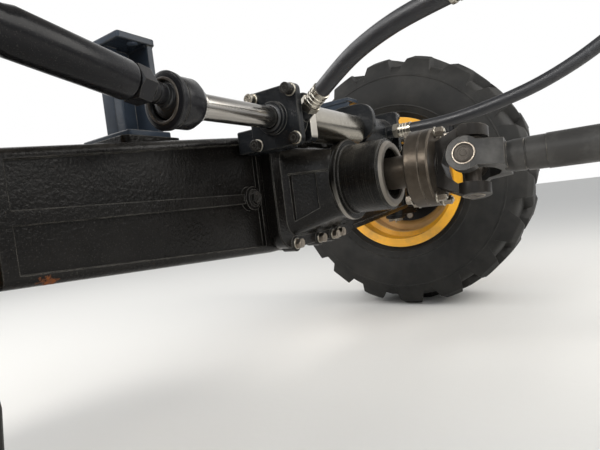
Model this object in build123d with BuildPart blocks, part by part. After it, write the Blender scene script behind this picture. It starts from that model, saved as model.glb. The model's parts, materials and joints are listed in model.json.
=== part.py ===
from build123d import *
import os
from math import cos, hypot, radians, sin, tan

# Steered drive axle of a loader, with its wheels, steering cylinder and propeller shaft.
# Millimetres. Origin at the centre of the four-bolt seat on top of the two saddles,
# X forward, Y to the left wheel, Z up. Heights called z below are above the wheel centre line.

# Axle
seat_height = 262.0
kingpin_y = 775.0
wheel_y = 938.0

# Cast beam
beam_rear = 100.0
beam_front = 80.0
beam_top = 107.0
beam_bottom = 130.0
arm_top = 64.0
arm_bottom = 97.0
beam_middle = 150.0
arm_end = 650.0
beam_corner = 14.0
panel_depth = 9.0
lip_height = 15.0
rib_low = -26.0
rib_high = -8.0
panel_start = 176.0
panel_stop = 632.0
plug_boss_radius = 23.0
plug_boss_y = 202.0

# Fork at each end of the beam
fork_half_height = 92.0
fork_radius = 45.0
fork_gap = 96.0
fork_wall_y = 722.0
kingpin_radius = 20.0
kingpin_play = 0.05
half_shaft_radius = 24.0
half_shaft_drum = 38.0

# Carrier and its journal
flange_half_width = 165.0
flange_top = 100.0
flange_bottom = 127.0
flange_thickness = 28.0
carrier_nose = 190.0
lip_radius = 78.5
journal_start = 207.0
journal_end = 300.0
journal_radius = 72.8
seal_bore_radius = 52.0
seal_bore_depth = 30.0
front_cover_radius = 122.0
front_cover_end = 152.0
front_journal_radius = 60.0
front_journal_end = 232.0

# Saddles
saddle_y = 390.0
saddle_foot_half = 52.0
saddle_head_half = 41.0
saddle_half_length = 66.0
saddle_plate = 10.0
pad_top = 97.0
seat_bolt_x = 46.0
seat_bolt_radius = 9.0

# Steering cylinder
rod_x = -197.0
rod_z = 113.5
rod_radius = 18.7
rod_play = 0.4
barrel_radius = 34.0
barrel_wall = 8.0
barrel_half = 104.0
gland_radius = 43.0
gland_face = 222.0
gland_plate = 14.0
gland_plate_size = 114.0
gland_boss_radius = 28.0
gland_boss_length = 9.0
rod_collar_radius = 24.0
socket_back = 385.0
socket_face = 476.0
socket_radius = 39.0
ball_y = 440.0
ball_radius = 18.0
ball_play = 1.0
mouth_radius = 29.0

# Tie rods
arm_ball_x = -235.0
arm_ball_y = 715.0
arm_ball_z = 148.0
tie_neck_radius = 12.5
lock_nut_radius = 19.0
tie_tube_radius = 23.5
tie_tube_start = 82.0
lock_nut_start = 56.0
lock_nut_width = 12.0
tie_end_margin = 45.0
tie_end_radius = 14.5
eye_radius = 31.0
eye_height = 38.0
stud_radius = 13.0

# Knuckles and kingpins
ear_gap = 4.0
ear_thickness = 26.0
ear_radius = 42.0
bowl_start = 827.0
bowl_end = 906.0
bowl_radius = 126.0
bowl_inner = 100.0
bowl_floor = 884.0
cap_radius = 37.0
cap_height = 14.0
arm_thickness = 20.0
arm_eye_radius = 27.0
stud_gap = 0.5

# Hubs, rims and tyres
hub_gap = 6.0
spindle_radius = 42.0
spindle_length = 70.0
running_play = 0.05
hub_flange_radius = 160.0
hub_flange_thickness = 16.0
hub_flange_y = 956.0
drum_radius = 110.0
hub_end = 1052.0
rim_half = 120.0
rim_flange_radius = 253.5
bead_radius = 229.0
well_radius = 205.0
sheet = 7.5
disc_thickness = 10.0
disc_bore = 113.0
stud_circle = 137.5
stud_hole = 11.0
stud_count = 8
tyre_radius = 485.0
tyre_half = 154.0
carcass_radius = 460.0
lug_count = 20

# Propeller line, measured back from the wheel centre line
joint_roll = 12.9
hub_neck_radius = 34.0
pair_radius = 70.0
companion_face = 357.0
disc_pair_thickness = 18.0
joint_front = 465.0
joint_rear = 1190.0
ear_reach = 66.0
ear_inner = 43.0
yoke_ear_radius = 31.0
cross_radius = 15.0
cap_cup_radius = 20.0
yoke_root = 62.0
neck_length = 34.0
tube_radius = 30.4
tube_end = 880.0
spline_radius = 20.0
spline_play = 0.4
sleeve_front = 930.0
sleeve_radius = 36.0

# Hoses
hose_radius = 14.0
fitting_radius = 16.0
ferrule_length = 28.0
nut_length = 12.0
# Points of each hose in order from its port: x, y, z
near_route = (
    (-280, 208, 144), (-318, 220, 163), (-360, 234, 180), (-410, 249, 192), (-462, 261, 200), (-520, 271, 204),
)
far_route = (
    (-292, -190, 110), (-345, -190, 109), (-400, -190, 112), (-455, -190, 120), (-510, -190, 131),
    (-565, -190, 145), (-618, -190, 165), (-668, -190, 189), (-716, -190, 218),
)


def across(y, x=0.0, z=0.0):
    """Plane square to the wheel line at side distance y: local x forward, local y up."""
    return Plane(origin=(x, y, z - seat_height), x_dir=(1, 0, 0), z_dir=(0, -1, 0))


def along(x, y=0.0, z=0.0):
    """Plane square to the pinion line at distance x: local x to the left, local y up."""
    return Plane(origin=(x, y, z - seat_height), x_dir=(0, 1, 0), z_dir=(1, 0, 0))


def level(z, x=0.0, y=0.0):
    """Horizontal plane at height z: local x forward, local y to the left."""
    return Plane(origin=(x, y, z - seat_height), x_dir=(1, 0, 0), z_dir=(0, 0, 1))


def shaft_plane(x):
    """Plane square to the propeller line, rolled with it: local x along the near ear."""
    roll = radians(joint_roll)
    return Plane(origin=(-x, 0, -seat_height), x_dir=(0, cos(roll), sin(roll)), z_dir=(1, 0, 0))


def outline(plane, points):
    """Closed straight-sided face on a plane."""
    with BuildSketch(plane) as face:
        with BuildLine():
            Polyline(*points, close=True)
        make_face()
    return face.sketch


wheel_line = Axis((0, 0, -seat_height), (0, 1, 0))
pinion_line = Axis((0, 0, -seat_height), (1, 0, 0))
rod_line = Axis((rod_x, 0, rod_z - seat_height), (0, 1, 0))
sides = (("left", 1), ("right", -1))
made = []


def keep(part, name):
    """Label a finished sub-part and note it for export."""
    part.label = name
    made.append((part, name))


# Cast beam with a recessed upper and lower panel on each face, and a fork at each end
beam_depth = beam_rear + beam_front
beam_x = (beam_front - beam_rear) / 2
with BuildPart() as axle_housing:
    with BuildSketch(across(beam_middle, beam_x, (beam_top - beam_bottom) / 2)):
        RectangleRounded(beam_depth, beam_top + beam_bottom, beam_corner)
    extrude(amount=2 * beam_middle)
    for side, sign in sides:
        with BuildSketch(across(sign * beam_middle, beam_x, (beam_top - beam_bottom) / 2)):
            RectangleRounded(beam_depth, beam_top + beam_bottom, beam_corner)
        with BuildSketch(across(sign * arm_end, beam_x, (arm_top - arm_bottom) / 2)):
            RectangleRounded(beam_depth, arm_top + arm_bottom, beam_corner)
        loft()
        with BuildSketch(across(sign * arm_end, beam_x, (arm_top - arm_bottom) / 2)):
            RectangleRounded(beam_depth, arm_top + arm_bottom, beam_corner)
        with BuildSketch(across(sign * (fork_wall_y - 12))):
            RectangleRounded(2 * fork_radius, 2 * fork_half_height, beam_corner)
        loft()
        with BuildSketch(level(-fork_half_height)):
            with Locations((0, sign * kingpin_y)):
                Circle(fork_radius)
            with Locations((0, sign * (kingpin_y + fork_wall_y - 12) / 2)):
                Rectangle(2 * fork_radius, kingpin_y - fork_wall_y + 12)
        extrude(amount=2 * fork_half_height)
        with BuildSketch(across(sign * (fork_wall_y + 140))):
            Rectangle(4 * fork_radius, fork_gap)
        extrude(amount=sign * 140, mode=Mode.SUBTRACT)
        with BuildSketch(level(-fork_half_height - 1, 0, sign * kingpin_y)):
            Circle(kingpin_radius + kingpin_play)
        extrude(amount=2 * fork_half_height + 2, mode=Mode.SUBTRACT)
        # Cast pad under each saddle
        with BuildSketch(level(arm_top - 10, 0, sign * saddle_y)):
            RectangleRounded(2 * saddle_half_length + 8, 2 * saddle_foot_half + 8, 10)
        extrude(amount=pad_top - arm_top + 10)
    # Recessed panels: heights of the inner and outer ends, low then high
    slope_top = (arm_top - beam_top) / (arm_end - beam_middle)
    slope_bottom = (beam_bottom - arm_bottom) / (arm_end - beam_middle)
    start = panel_start - beam_middle
    stop = panel_stop - beam_middle
    upper = (
        (panel_start, rib_high), (panel_stop, rib_high),
        (panel_stop, beam_top + slope_top * stop - lip_height),
        (panel_start, beam_top + slope_top * start - lip_height),
    )
    lower = (
        (panel_start, rib_low), (panel_stop, rib_low),
        (panel_stop, -beam_bottom + slope_bottom * stop + lip_height),
        (panel_start, -beam_bottom + slope_bottom * start + lip_height),
    )
    for side, sign in sides:
        for corners in (upper, lower):
            points = [(sign * y, z) for y, z in corners]
            extrude(outline(along(-beam_rear), points), amount=panel_depth, mode=Mode.SUBTRACT)
            extrude(outline(along(beam_front), points), amount=-panel_depth, mode=Mode.SUBTRACT)
    # Boss for the level plug where the rib meets the carrier
    with BuildSketch(along(-beam_rear + panel_depth + 1, plug_boss_y, (rib_low + rib_high) / 2)):
        Circle(plug_boss_radius)
    extrude(amount=-panel_depth - 5)
keep(axle_housing.part, "axle_housing")

# Half-shaft coupling inside each fork
for side, sign in sides:
    profile = (
        (fork_wall_y, 0), (fork_wall_y, half_shaft_radius), (fork_wall_y + 12, half_shaft_radius),
        (kingpin_y - 24, half_shaft_drum), (kingpin_y + 24, half_shaft_drum),
        (kingpin_y + 34, half_shaft_radius), (kingpin_y + 34, 0),
    )
    with BuildPart() as half_shaft:
        revolve(outline(along(0), [(sign * y, r) for y, r in profile]), axis=wheel_line)
    keep(half_shaft.part, f"half_shaft_joint_{side}")

# Carrier bolted to the rear of the beam, with the long journal round the pinion
with BuildPart() as differential_carrier:
    with BuildSketch(along(-beam_rear, 0, (flange_top - flange_bottom) / 2)):
        RectangleRounded(2 * flange_half_width, flange_top + flange_bottom, 42)
    extrude(amount=-flange_thickness)
    with BuildSketch(along(-beam_rear - flange_thickness, 0, -10)):
        RectangleRounded(262, 178, 30)
    with BuildSketch(along(-carrier_nose, 0, -6)):
        RectangleRounded(168, 126, 34)
    loft()
    revolve(
        outline(across(0), (
            (-carrier_nose + 12, 0), (-carrier_nose + 12, lip_radius - 6), (-carrier_nose, lip_radius),
            (-journal_start, lip_radius), (-journal_start, journal_radius),
            (-journal_end, journal_radius), (-journal_end, seal_bore_radius + 6),
            (-journal_end + 8, seal_bore_radius), (-journal_end + seal_bore_depth, seal_bore_radius),
            (-journal_end + seal_bore_depth, 0),
        )),
        axis=pinion_line,
    )
    with BuildSketch(along(-journal_end)):
        Circle(hub_neck_radius + 2)
    extrude(amount=seal_bore_depth + 12, mode=Mode.SUBTRACT)
keep(differential_carrier.part, "differential_carrier")

# Oil seal in the mouth of the journal
with BuildPart() as pinion_seal:
    with BuildSketch(along(-journal_end + seal_bore_depth)):
        Circle(seal_bore_radius)
        Circle(hub_neck_radius + running_play, mode=Mode.SUBTRACT)
    extrude(amount=-16)
keep(pinion_seal.part, "pinion_seal")

# Front cover with the front journal
with BuildPart() as front_trunnion:
    revolve(
        outline(across(0), (
            (beam_front, 0), (beam_front, front_cover_radius), (beam_front + 18, front_cover_radius),
            (beam_front + 26, front_cover_radius - 10), (front_cover_end, front_journal_radius + 26),
            (front_cover_end, front_journal_radius), (front_journal_end - 4, front_journal_radius),
            (front_journal_end, front_journal_radius - 4), (front_journal_end, 30),
            (front_journal_end - 22, 24), (front_journal_end - 22, 0),
        )),
        axis=pinion_line,
    )
keep(front_trunnion.part, "front_trunnion")

# Saddles: foot, two leaning side plates, a web between them and the seat plate
for side, sign in sides:
    with BuildPart() as saddle:
        with BuildSketch(level(pad_top, 0, sign * saddle_y)):
            Rectangle(2 * saddle_half_length, 2 * saddle_foot_half)
        extrude(amount=saddle_plate)
        with BuildSketch(level(seat_height - saddle_plate, 0, sign * saddle_y)):
            Rectangle(2 * saddle_half_length, 2 * saddle_head_half)
        extrude(amount=saddle_plate)
        low = pad_top + saddle_plate - 1
        high = seat_height - saddle_plate + 1
        for edge in (-1, 1):
            foot = saddle_y + edge * (saddle_foot_half - 6)
            head = saddle_y + edge * saddle_head_half
            wall = (
                (sign * foot, low), (sign * head, high),
                (sign * (head - edge * saddle_plate), high), (sign * (foot - edge * saddle_plate), low),
            )
            extrude(outline(along(-saddle_half_length), wall), amount=2 * saddle_half_length)
        foot = saddle_foot_half - 8
        head = saddle_head_half - 2
        web = (
            (sign * (saddle_y - foot), low), (sign * (saddle_y + foot), low),
            (sign * (saddle_y + head), high), (sign * (saddle_y - head), high),
        )
        extrude(outline(along(-saddle_plate / 2), web), amount=saddle_plate)
        with BuildSketch(level(seat_height + 1, 0, sign * saddle_y)):
            with GridLocations(2 * seat_bolt_x, 1, 2, 1):
                Circle(seat_bolt_radius)
        extrude(amount=-saddle_plate - 3, mode=Mode.SUBTRACT)
    keep(saddle.part, f"saddle_{side}")

# Steering cylinder: ground barrel between two bolted glands
with BuildPart() as cylinder_barrel:
    with BuildSketch(across(barrel_half, rod_x, rod_z)):
        Circle(barrel_radius)
        Circle(barrel_radius - barrel_wall, mode=Mode.SUBTRACT)
    extrude(amount=2 * barrel_half)
keep(cylinder_barrel.part, "cylinder_barrel")

gland_end = gland_face + gland_plate
foot_bottom = flange_top - 19
foot_height = 32
fitting_length = ferrule_length + nut_length
hoses = []
for name, sign, route in (("near", 1, near_route), ("far", -1, far_route)):
    points = [Vector(x, y, z - seat_height) for x, y, z in route]
    hoses.append((name, sign, points, (points[1] - points[0]).normalized()))
for (side, sign), (hose, _, points, port_dir) in zip(sides, hoses):
    port_seat = points[0] - port_dir * fitting_length
    with BuildPart() as gland:
        with BuildSketch(across(sign * barrel_half, rod_x, rod_z)):
            Circle(gland_radius)
        extrude(amount=-sign * (gland_face - barrel_half))
        with BuildSketch(across(sign * gland_face, rod_x, rod_z)):
            RectangleRounded(gland_plate_size, gland_plate_size, 22)
        extrude(amount=-sign * gland_plate)
        with BuildSketch(across(sign * gland_end, rod_x, rod_z)):
            Circle(gland_boss_radius)
        extrude(amount=-sign * gland_boss_length)
        # Foot that bolts against the carrier flange
        foot_start = barrel_half + 8
        foot_points = (
            (rod_x + 20, sign * foot_start), (-beam_rear - flange_thickness, sign * foot_start),
            (-beam_rear - flange_thickness, sign * (flange_half_width - 6)),
            (rod_x + 20, sign * (gland_face - 10)),
        )
        extrude(outline(level(foot_bottom), foot_points), amount=foot_height)
        # Port boss for the hose
        with BuildSketch(Plane(origin=port_seat, z_dir=port_dir)):
            Circle(fitting_radius)
        extrude(amount=-24)
        with BuildSketch(across(0, rod_x, rod_z)):
            Circle(rod_radius + rod_play)
        extrude(amount=-sign * (gland_end + gland_boss_length + 1), mode=Mode.SUBTRACT)
    keep(gland.part, f"cylinder_gland_{side}")

# Through rod with a collar at each end
with BuildPart() as cylinder_rod:
    with BuildSketch(across(socket_back, rod_x, rod_z)):
        Circle(rod_radius)
    extrude(amount=2 * socket_back)
    for side, sign in sides:
        with BuildSketch(across(sign * (socket_back - 16), rod_x, rod_z)):
            Circle(rod_collar_radius)
        extrude(amount=-sign * 16)
keep(cylinder_rod.part, "cylinder_rod")

# Ball sockets screwed on the rod's ends
for side, sign in sides:
    cavity = ball_radius + ball_play
    profile = (
        (socket_back, 0), (socket_back, socket_radius - 6), (socket_back + 6, socket_radius),
        (socket_face - 18, socket_radius), (socket_face - 18, socket_radius - 2),
        (socket_face - 15, socket_radius - 2), (socket_face - 15, socket_radius),
        (socket_face - 3, socket_radius), (socket_face, socket_radius - 3),
        (socket_face, mouth_radius + 2), (socket_face + 4, mouth_radius + 1), (socket_face + 4, mouth_radius - 2),
        (ball_y + 8, cavity), (ball_y - cavity, cavity), (ball_y - cavity, 0),
    )
    with BuildPart() as socket:
        revolve(outline(along(rod_x, 0, rod_z), [(sign * y, r) for y, r in profile]), axis=rod_line)
    keep(socket.part, f"rod_socket_{side}")

# Tie rods: ball, neck, lock nut, tube and the eye over the steering arm
tie_rise = arm_ball_z - rod_z
tie_run = arm_ball_y - ball_y
tie_back = arm_ball_x - rod_x
tie_length = hypot(tie_rise, tie_run, tie_back)
for side, sign in sides:
    start_point = (rod_x, sign * ball_y, rod_z - seat_height)
    direction = (tie_back, sign * tie_run, tie_rise)
    tie_plane = Plane(origin=start_point, x_dir=(1, 0, -tie_back / tie_rise), z_dir=direction)
    tube_stop = tie_length - tie_end_margin
    lock_nut_stop = lock_nut_start + lock_nut_width
    profile = (
        (0, 8), (tie_neck_radius, 8), (tie_neck_radius, lock_nut_start), (lock_nut_radius, lock_nut_start),
        (lock_nut_radius, lock_nut_stop), (tie_neck_radius + 2, lock_nut_stop),
        (tie_neck_radius + 2, tie_tube_start - 8), (tie_tube_radius - 3, tie_tube_start - 6),
        (tie_tube_radius, tie_tube_start),
        (tie_tube_radius, tube_stop), (tie_end_radius, tube_stop + 8), (tie_end_radius, tie_length), (0, tie_length),
    )
    side_plane = Plane(origin=start_point, x_dir=tie_plane.x_dir, z_dir=tie_plane.x_dir.cross(tie_plane.z_dir))
    with BuildPart() as tie_rod:
        revolve(outline(side_plane, [(r, s) for r, s in profile]), axis=Axis(start_point, direction))
        with Locations(start_point):
            Sphere(ball_radius)
        with BuildSketch(level(arm_ball_z - eye_height / 2, arm_ball_x, sign * arm_ball_y)):
            Circle(eye_radius)
        extrude(amount=eye_height)
    keep(tie_rod.part, f"tie_rod_{side}")

# Ball stud with its boot, under each eye
arm_top_z = fork_half_height + ear_gap + ear_thickness
for side, sign in sides:
    boot_top = arm_ball_z - eye_height / 2
    boot_foot = arm_top_z + stud_gap
    profile = (
        (0, boot_foot), (stud_radius, boot_foot), (stud_radius, boot_foot + 1), (stud_radius + 8, boot_foot + 2),
        (eye_radius - 6, boot_top), (0, boot_top),
    )
    stud_line = Axis((arm_ball_x, sign * arm_ball_y, 0), (0, 0, 1))
    with BuildPart() as stud:
        revolve(outline(across(sign * arm_ball_y, arm_ball_x), profile), axis=stud_line)
    keep(stud.part, f"ball_stud_{side}")

# Knuckles: bowl, upper and lower ears round the kingpin, and the steering arm
ear_low = fork_half_height + ear_gap
for side, sign in sides:
    profile = (
        (bowl_start, 0), (bowl_start, half_shaft_radius), (bowl_floor, half_shaft_radius),
        (bowl_floor, bowl_inner), (bowl_start, bowl_inner), (bowl_start, bowl_radius - 6),
        (bowl_start + 10, bowl_radius), (bowl_end, bowl_radius), (bowl_end, spindle_radius),
        (bowl_end + spindle_length, spindle_radius), (bowl_end + spindle_length, 0),
    )
    with BuildPart() as knuckle:
        revolve(outline(along(0), [(sign * y, r) for y, r in profile]), axis=wheel_line)
        for bottom in (ear_low, -ear_low - ear_thickness):
            with BuildSketch(level(bottom, 0, sign * kingpin_y)):
                Circle(ear_radius)
                with Locations((0, sign * (bowl_start + 12 - kingpin_y))):
                    Rectangle(2 * ear_radius + 34, 34)
                make_hull()
            extrude(amount=ear_thickness)
            with BuildSketch(level(bottom - 1, 0, sign * kingpin_y)):
                Circle(kingpin_radius + kingpin_play)
            extrude(amount=ear_thickness + 2, mode=Mode.SUBTRACT)
        with BuildSketch(level(arm_top_z - arm_thickness)):
            with Locations((arm_ball_x, sign * arm_ball_y)):
                Circle(arm_eye_radius)
            with Locations((-46, sign * (bowl_start + 6))):
                Circle(34)
            make_hull()
        extrude(amount=arm_thickness)
    keep(knuckle.part, f"knuckle_{side}")

# Kingpins: flanged caps bolted on the ears, with pins down into the fork
for side, sign in sides:
    pin_line = Axis((0, sign * kingpin_y, 0), (0, 0, 1))
    for place, up in (("upper", 1), ("lower", -1)):
        ear_face = ear_low + ear_thickness
        profile = (
            (0, up * (fork_gap / 2 + 4)), (kingpin_radius, up * (fork_gap / 2 + 4)),
            (kingpin_radius, up * ear_face), (cap_radius, up * ear_face),
            (cap_radius, up * (ear_face + cap_height - 4)), (cap_radius - 5, up * (ear_face + cap_height)),
            (0, up * (ear_face + cap_height)),
        )
        with BuildPart() as kingpin:
            revolve(outline(across(sign * kingpin_y), profile), axis=pin_line)
        keep(kingpin.part, f"kingpin_{place}_{side}")

# Hubs: bearing collar, wheel flange and the planetary housing outside it
flange_back = hub_flange_y - hub_flange_thickness
for side, sign in sides:
    profile = (
        (bowl_end + spindle_length + hub_gap, 0), (bowl_end + spindle_length + hub_gap, spindle_radius + running_play),
        (bowl_end + hub_gap, spindle_radius + running_play), (bowl_end + hub_gap, drum_radius - 6), (bowl_end + hub_gap + 6, drum_radius),
        (flange_back, drum_radius), (flange_back, hub_flange_radius), (hub_flange_y, hub_flange_radius),
        (hub_flange_y, drum_radius), (hub_end - 26, drum_radius - 8), (hub_end - 14, drum_radius - 20),
        (hub_end - 14, 62), (hub_end, 56), (hub_end, 0),
    )
    with BuildPart() as hub:
        revolve(outline(along(0), [(sign * y, r) for y, r in profile]), axis=wheel_line)
        with BuildSketch(across(sign * (hub_flange_y + 1))):
            with PolarLocations(stud_circle, stud_count):
                Circle(stud_hole - 1)
        extrude(amount=sign * (hub_flange_thickness + 2), mode=Mode.SUBTRACT)
    keep(hub.part, f"hub_{side}")

# Rims: flanges, bead seats, drop centre and a dished disc
disc_in = hub_flange_y - wheel_y
for side, sign in sides:
    barrel = (
        (-rim_half, rim_flange_radius), (sheet - rim_half, rim_flange_radius), (9 - rim_half, bead_radius),
        (-62, bead_radius - 3), (-50, well_radius), (36, well_radius), (48, bead_radius - 3),
        (rim_half - 9, bead_radius), (rim_half - sheet, rim_flange_radius), (rim_half, rim_flange_radius),
        (rim_half - 2, bead_radius - sheet), (50, bead_radius - 3 - sheet), (38, well_radius - sheet),
        (-52, well_radius - sheet), (-64, bead_radius - 3 - sheet), (2 - rim_half, bead_radius - sheet),
    )
    disc = (
        (disc_in, disc_bore), (disc_in + disc_thickness, disc_bore), (disc_in + disc_thickness, 160),
        (disc_in + disc_thickness - 12, 180), (disc_in + disc_thickness - 12, well_radius - 2),
        (disc_in - 12, well_radius - 2), (disc_in - 12, 178), (disc_in, 162),
    )
    with BuildPart() as rim:
        for ring in (barrel, disc):
            points = [(sign * (wheel_y + s), r) for s, r in ring]
            revolve(outline(along(0), points), axis=wheel_line)
        with BuildSketch(across(sign * (hub_flange_y + disc_thickness + 1))):
            with PolarLocations(stud_circle, stud_count):
                Circle(stud_hole)
        extrude(amount=sign * (disc_thickness + 2), mode=Mode.SUBTRACT)
    keep(rim.part, f"rim_{side}")

# Tyre: solid section on the bead seats, with slanting lugs cut to the rolling radius
carcass = (
    (9.5 - rim_half, bead_radius + 0.3), (9.5 - rim_half, rim_flange_radius + 3),
    (-132, 276), (-tyre_half + 3, 318), (-tyre_half, 352), (-tyre_half + 4, 400), (-136, 440), (-90, carcass_radius - 3),
    (90, carcass_radius - 3), (136, 440), (tyre_half - 4, 400), (tyre_half, 352), (tyre_half - 3, 318), (132, 276),
    (rim_half - 9.5, rim_flange_radius + 3), (rim_half - 9.5, bead_radius + 0.3),
)
envelope = (
    (-tyre_half, 380), (-tyre_half, 452), (-tyre_half + 14, 474), (-90, tyre_radius - 2),
    (90, tyre_radius - 2), (tyre_half - 14, 474), (tyre_half, 452), (tyre_half, 380),
)
# Lug outline on the tread: distance round the tyre, distance from the centre line
lug_outline = ((-64, -12), (-28, -12), (26, 66), (44, tyre_half + 4), (-8, tyre_half + 4), (-18, 78))
with BuildPart() as tread_ring:
    revolve(outline(along(0), [(wheel_y + s, r) for s, r in envelope]), axis=wheel_line)
lugs = []
for flip in (1, -1):
    points = [(t + (0 if flip > 0 else 38), wheel_y + flip * s) for t, s in lug_outline]
    with BuildPart() as lug:
        extrude(outline(level(395), points), amount=tyre_radius)
        add(tread_ring.part, mode=Mode.INTERSECT)
    for k in range(lug_count):
        lugs.append(lug.part.rotate(wheel_line, (k + (0 if flip > 0 else 0.5)) * 360 / lug_count))
with BuildPart() as tyre_left:
    revolve(outline(along(0), [(wheel_y + s, r) for s, r in carcass]), axis=wheel_line)
    add(lugs)
with BuildPart() as tyre_right:
    add(mirror(tyre_left.part, about=Plane.XZ, mode=Mode.PRIVATE))
keep(tyre_left.part, "tyre_left")
keep(tyre_right.part, "tyre_right")

# Flange on the pinion
with BuildPart() as companion_flange:
    revolve(
        outline(across(0), (
            (-journal_end + seal_bore_depth - 4, 0), (-journal_end + seal_bore_depth - 4, hub_neck_radius),
            (-companion_face + 24, hub_neck_radius), (-companion_face + 24, pair_radius - 3),
            (-companion_face + 21, pair_radius), (-companion_face, pair_radius), (-companion_face, 0),
        )),
        axis=pinion_line,
    )
keep(companion_flange.part, "companion_flange")

# Yokes: each has two ears round a joint centre, bridged behind to what it is fixed to.
# Name, joint centre, which way its root lies, whether its ears are on the rolled vertical
yokes = (
    ("flange_yoke_front", joint_front, 1, True),
    ("shaft_front", joint_front, -1, False),
    ("slip_sleeve", joint_rear, 1, False),
    ("flange_yoke_rear", joint_rear, -1, True),
)
for name, centre, root, upright in yokes:
    middle = shaft_plane(centre)
    ear_dir = middle.y_dir if upright else middle.x_dir
    wide_dir = middle.x_dir if upright else middle.y_dir
    ear_plane = Plane(origin=middle.origin, x_dir=(1, 0, 0), z_dir=ear_dir)
    side_plane = Plane(origin=middle.origin, x_dir=(1, 0, 0), z_dir=wide_dir)
    up = 1 if side_plane.y_dir.dot(ear_dir) > 0 else -1
    with BuildPart() as yoke:
        with BuildSketch(ear_plane):
            Circle(yoke_ear_radius)
            with Locations((root * yoke_root / 2, 0)):
                Rectangle(yoke_root, 1.5 * yoke_ear_radius)
        extrude(amount=ear_reach, both=True)
        # Side view of the fork's outside, then the space between the ears
        fork = (
            (-root * (yoke_ear_radius + 1), ear_reach - 3), (root * 10, ear_reach), (root * 34, ear_reach - 10),
            (root * (yoke_root + 18), tube_radius + 4), (root * (yoke_root + 18), -tube_radius - 4),
            (root * 34, -ear_reach + 10), (root * 10, -ear_reach), (-root * (yoke_ear_radius + 1), -ear_reach + 3),
        )
        extrude(outline(side_plane, fork), amount=yoke_ear_radius, both=True, mode=Mode.INTERSECT)
        hollow = (
            (-root * (yoke_ear_radius + 2), ear_inner), (root * 22, ear_inner), (root * (yoke_root - 20), 26),
            (root * (yoke_root - 12), 0), (root * (yoke_root - 20), -26), (root * 22, -ear_inner),
            (-root * (yoke_ear_radius + 2), -ear_inner),
        )
        extrude(outline(side_plane, hollow), amount=yoke_ear_radius + 5, both=True, mode=Mode.SUBTRACT)
        with BuildSketch(ear_plane):
            Circle(cap_cup_radius)
        extrude(amount=ear_reach + 2, both=True, mode=Mode.SUBTRACT)
        if name.startswith("flange_yoke"):
            face = -centre + root * (joint_front - companion_face)
            revolve(
                outline(across(0), (
                    (face, 0), (face, pair_radius), (face - root * (disc_pair_thickness - 3), pair_radius),
                    (face - root * disc_pair_thickness, pair_radius - 3), (face - root * disc_pair_thickness, 40),
                    (-centre + root * (yoke_root - 4), 32), (-centre + root * (yoke_root - 4), 0),
                )),
                axis=pinion_line,
            )
        elif name == "shaft_front":
            start = -centre - yoke_root + 6
            revolve(
                outline(across(0), (
                    (start, 0), (start, 26), (start - 16, tube_radius - 2), (start - neck_length, tube_radius - 2),
                    (start - neck_length, tube_radius - 3.5), (start - neck_length - 3, tube_radius - 3.5),
                    (start - neck_length - 3, tube_radius - 1), (start - 2 * neck_length, tube_radius - 1),
                    (start - 2 * neck_length, tube_radius), (-tube_end, tube_radius), (-tube_end - 6, tube_radius - 6),
                    (-tube_end - 6, spline_radius), (-joint_rear + 130, spline_radius), (-joint_rear + 130, 0),
                )),
                axis=pinion_line,
            )
        else:
            start = -centre + yoke_root - 6
            revolve(
                outline(across(0), (
                    (start, 0), (start, 26), (start + 16, sleeve_radius - 3), (-sleeve_front - 14, sleeve_radius - 3),
                    (-sleeve_front - 12, sleeve_radius), (-sleeve_front, sleeve_radius - 2),
                    (-sleeve_front, spline_radius + spline_play), (start + 14, spline_radius + spline_play),
                    (start + 14, 0),
                )),
                axis=pinion_line,
            )
    keep(yoke.part, name)

# Crosses with their four bearing cups
for name, centre in (("cross_front", joint_front), ("cross_rear", joint_rear)):
    middle = shaft_plane(centre)
    with BuildPart() as cross:
        for direction in (middle.x_dir, middle.y_dir):
            arm = Plane(origin=middle.origin, x_dir=(1, 0, 0), z_dir=direction)
            with BuildSketch(arm):
                Circle(cross_radius)
            extrude(amount=ear_reach - 3, both=True)
            for end in (1, -1):
                cup = Plane(origin=middle.origin + direction * (end * (ear_inner - 3)), x_dir=(1, 0, 0), z_dir=direction)
                with BuildSketch(cup):
                    Circle(cap_cup_radius - 0.05)
                extrude(amount=end * (ear_reach - ear_inner + 1))
        with Locations(middle.origin):
            Sphere(22)
    keep(cross.part, name)

# Steering hoses: nut and ferrule on the port, tube, and the fitting on its far end
for name, sign, points, port_dir in hoses:
    runs = [(b - a) for a, b in zip(points, points[1:])]
    radii = []
    for before, after in zip(runs, runs[1:]):
        turn = radians(before.get_angle(after))
        radii.append(0.45 * min(before.length, after.length) / tan(turn / 2))
    print("hose", name, "radii", [round(r) for r in radii], "length", round(sum(r.length for r in runs)))
    end_dir = runs[-1].normalized()
    with BuildPart() as port:
        with BuildSketch(Plane(origin=points[0] - port_dir * fitting_length, z_dir=port_dir)):
            RegularPolygon(fitting_radius + 2, 6)
        extrude(amount=nut_length)
        with BuildSketch(Plane(origin=points[0] - port_dir * ferrule_length, z_dir=port_dir)):
            Circle(fitting_radius)
        extrude(amount=ferrule_length)
    with BuildPart() as tube:
        with BuildLine() as path:
            FilletPolyline(*points, radius=radii)
        with BuildSketch(Plane(origin=points[0], z_dir=port_dir)):
            Circle(hose_radius)
        sweep(path=path.line)
    with BuildPart() as end_fitting:
        with BuildSketch(Plane(origin=points[-1], z_dir=end_dir)):
            Circle(fitting_radius)
        extrude(amount=ferrule_length)
        with BuildSketch(Plane(origin=points[-1] + end_dir * ferrule_length, z_dir=end_dir)):
            RegularPolygon(fitting_radius + 3, 6)
        extrude(amount=nut_length + 6)
    keep(port.part, f"hose_port_{name}")
    keep(tube.part, f"hose_{name}")
    keep(end_fitting.part, f"hose_end_{name}")

os.makedirs("parts", exist_ok=True)
for part, name in made:
    export_step(part, f"parts/{name}.step")
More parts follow.
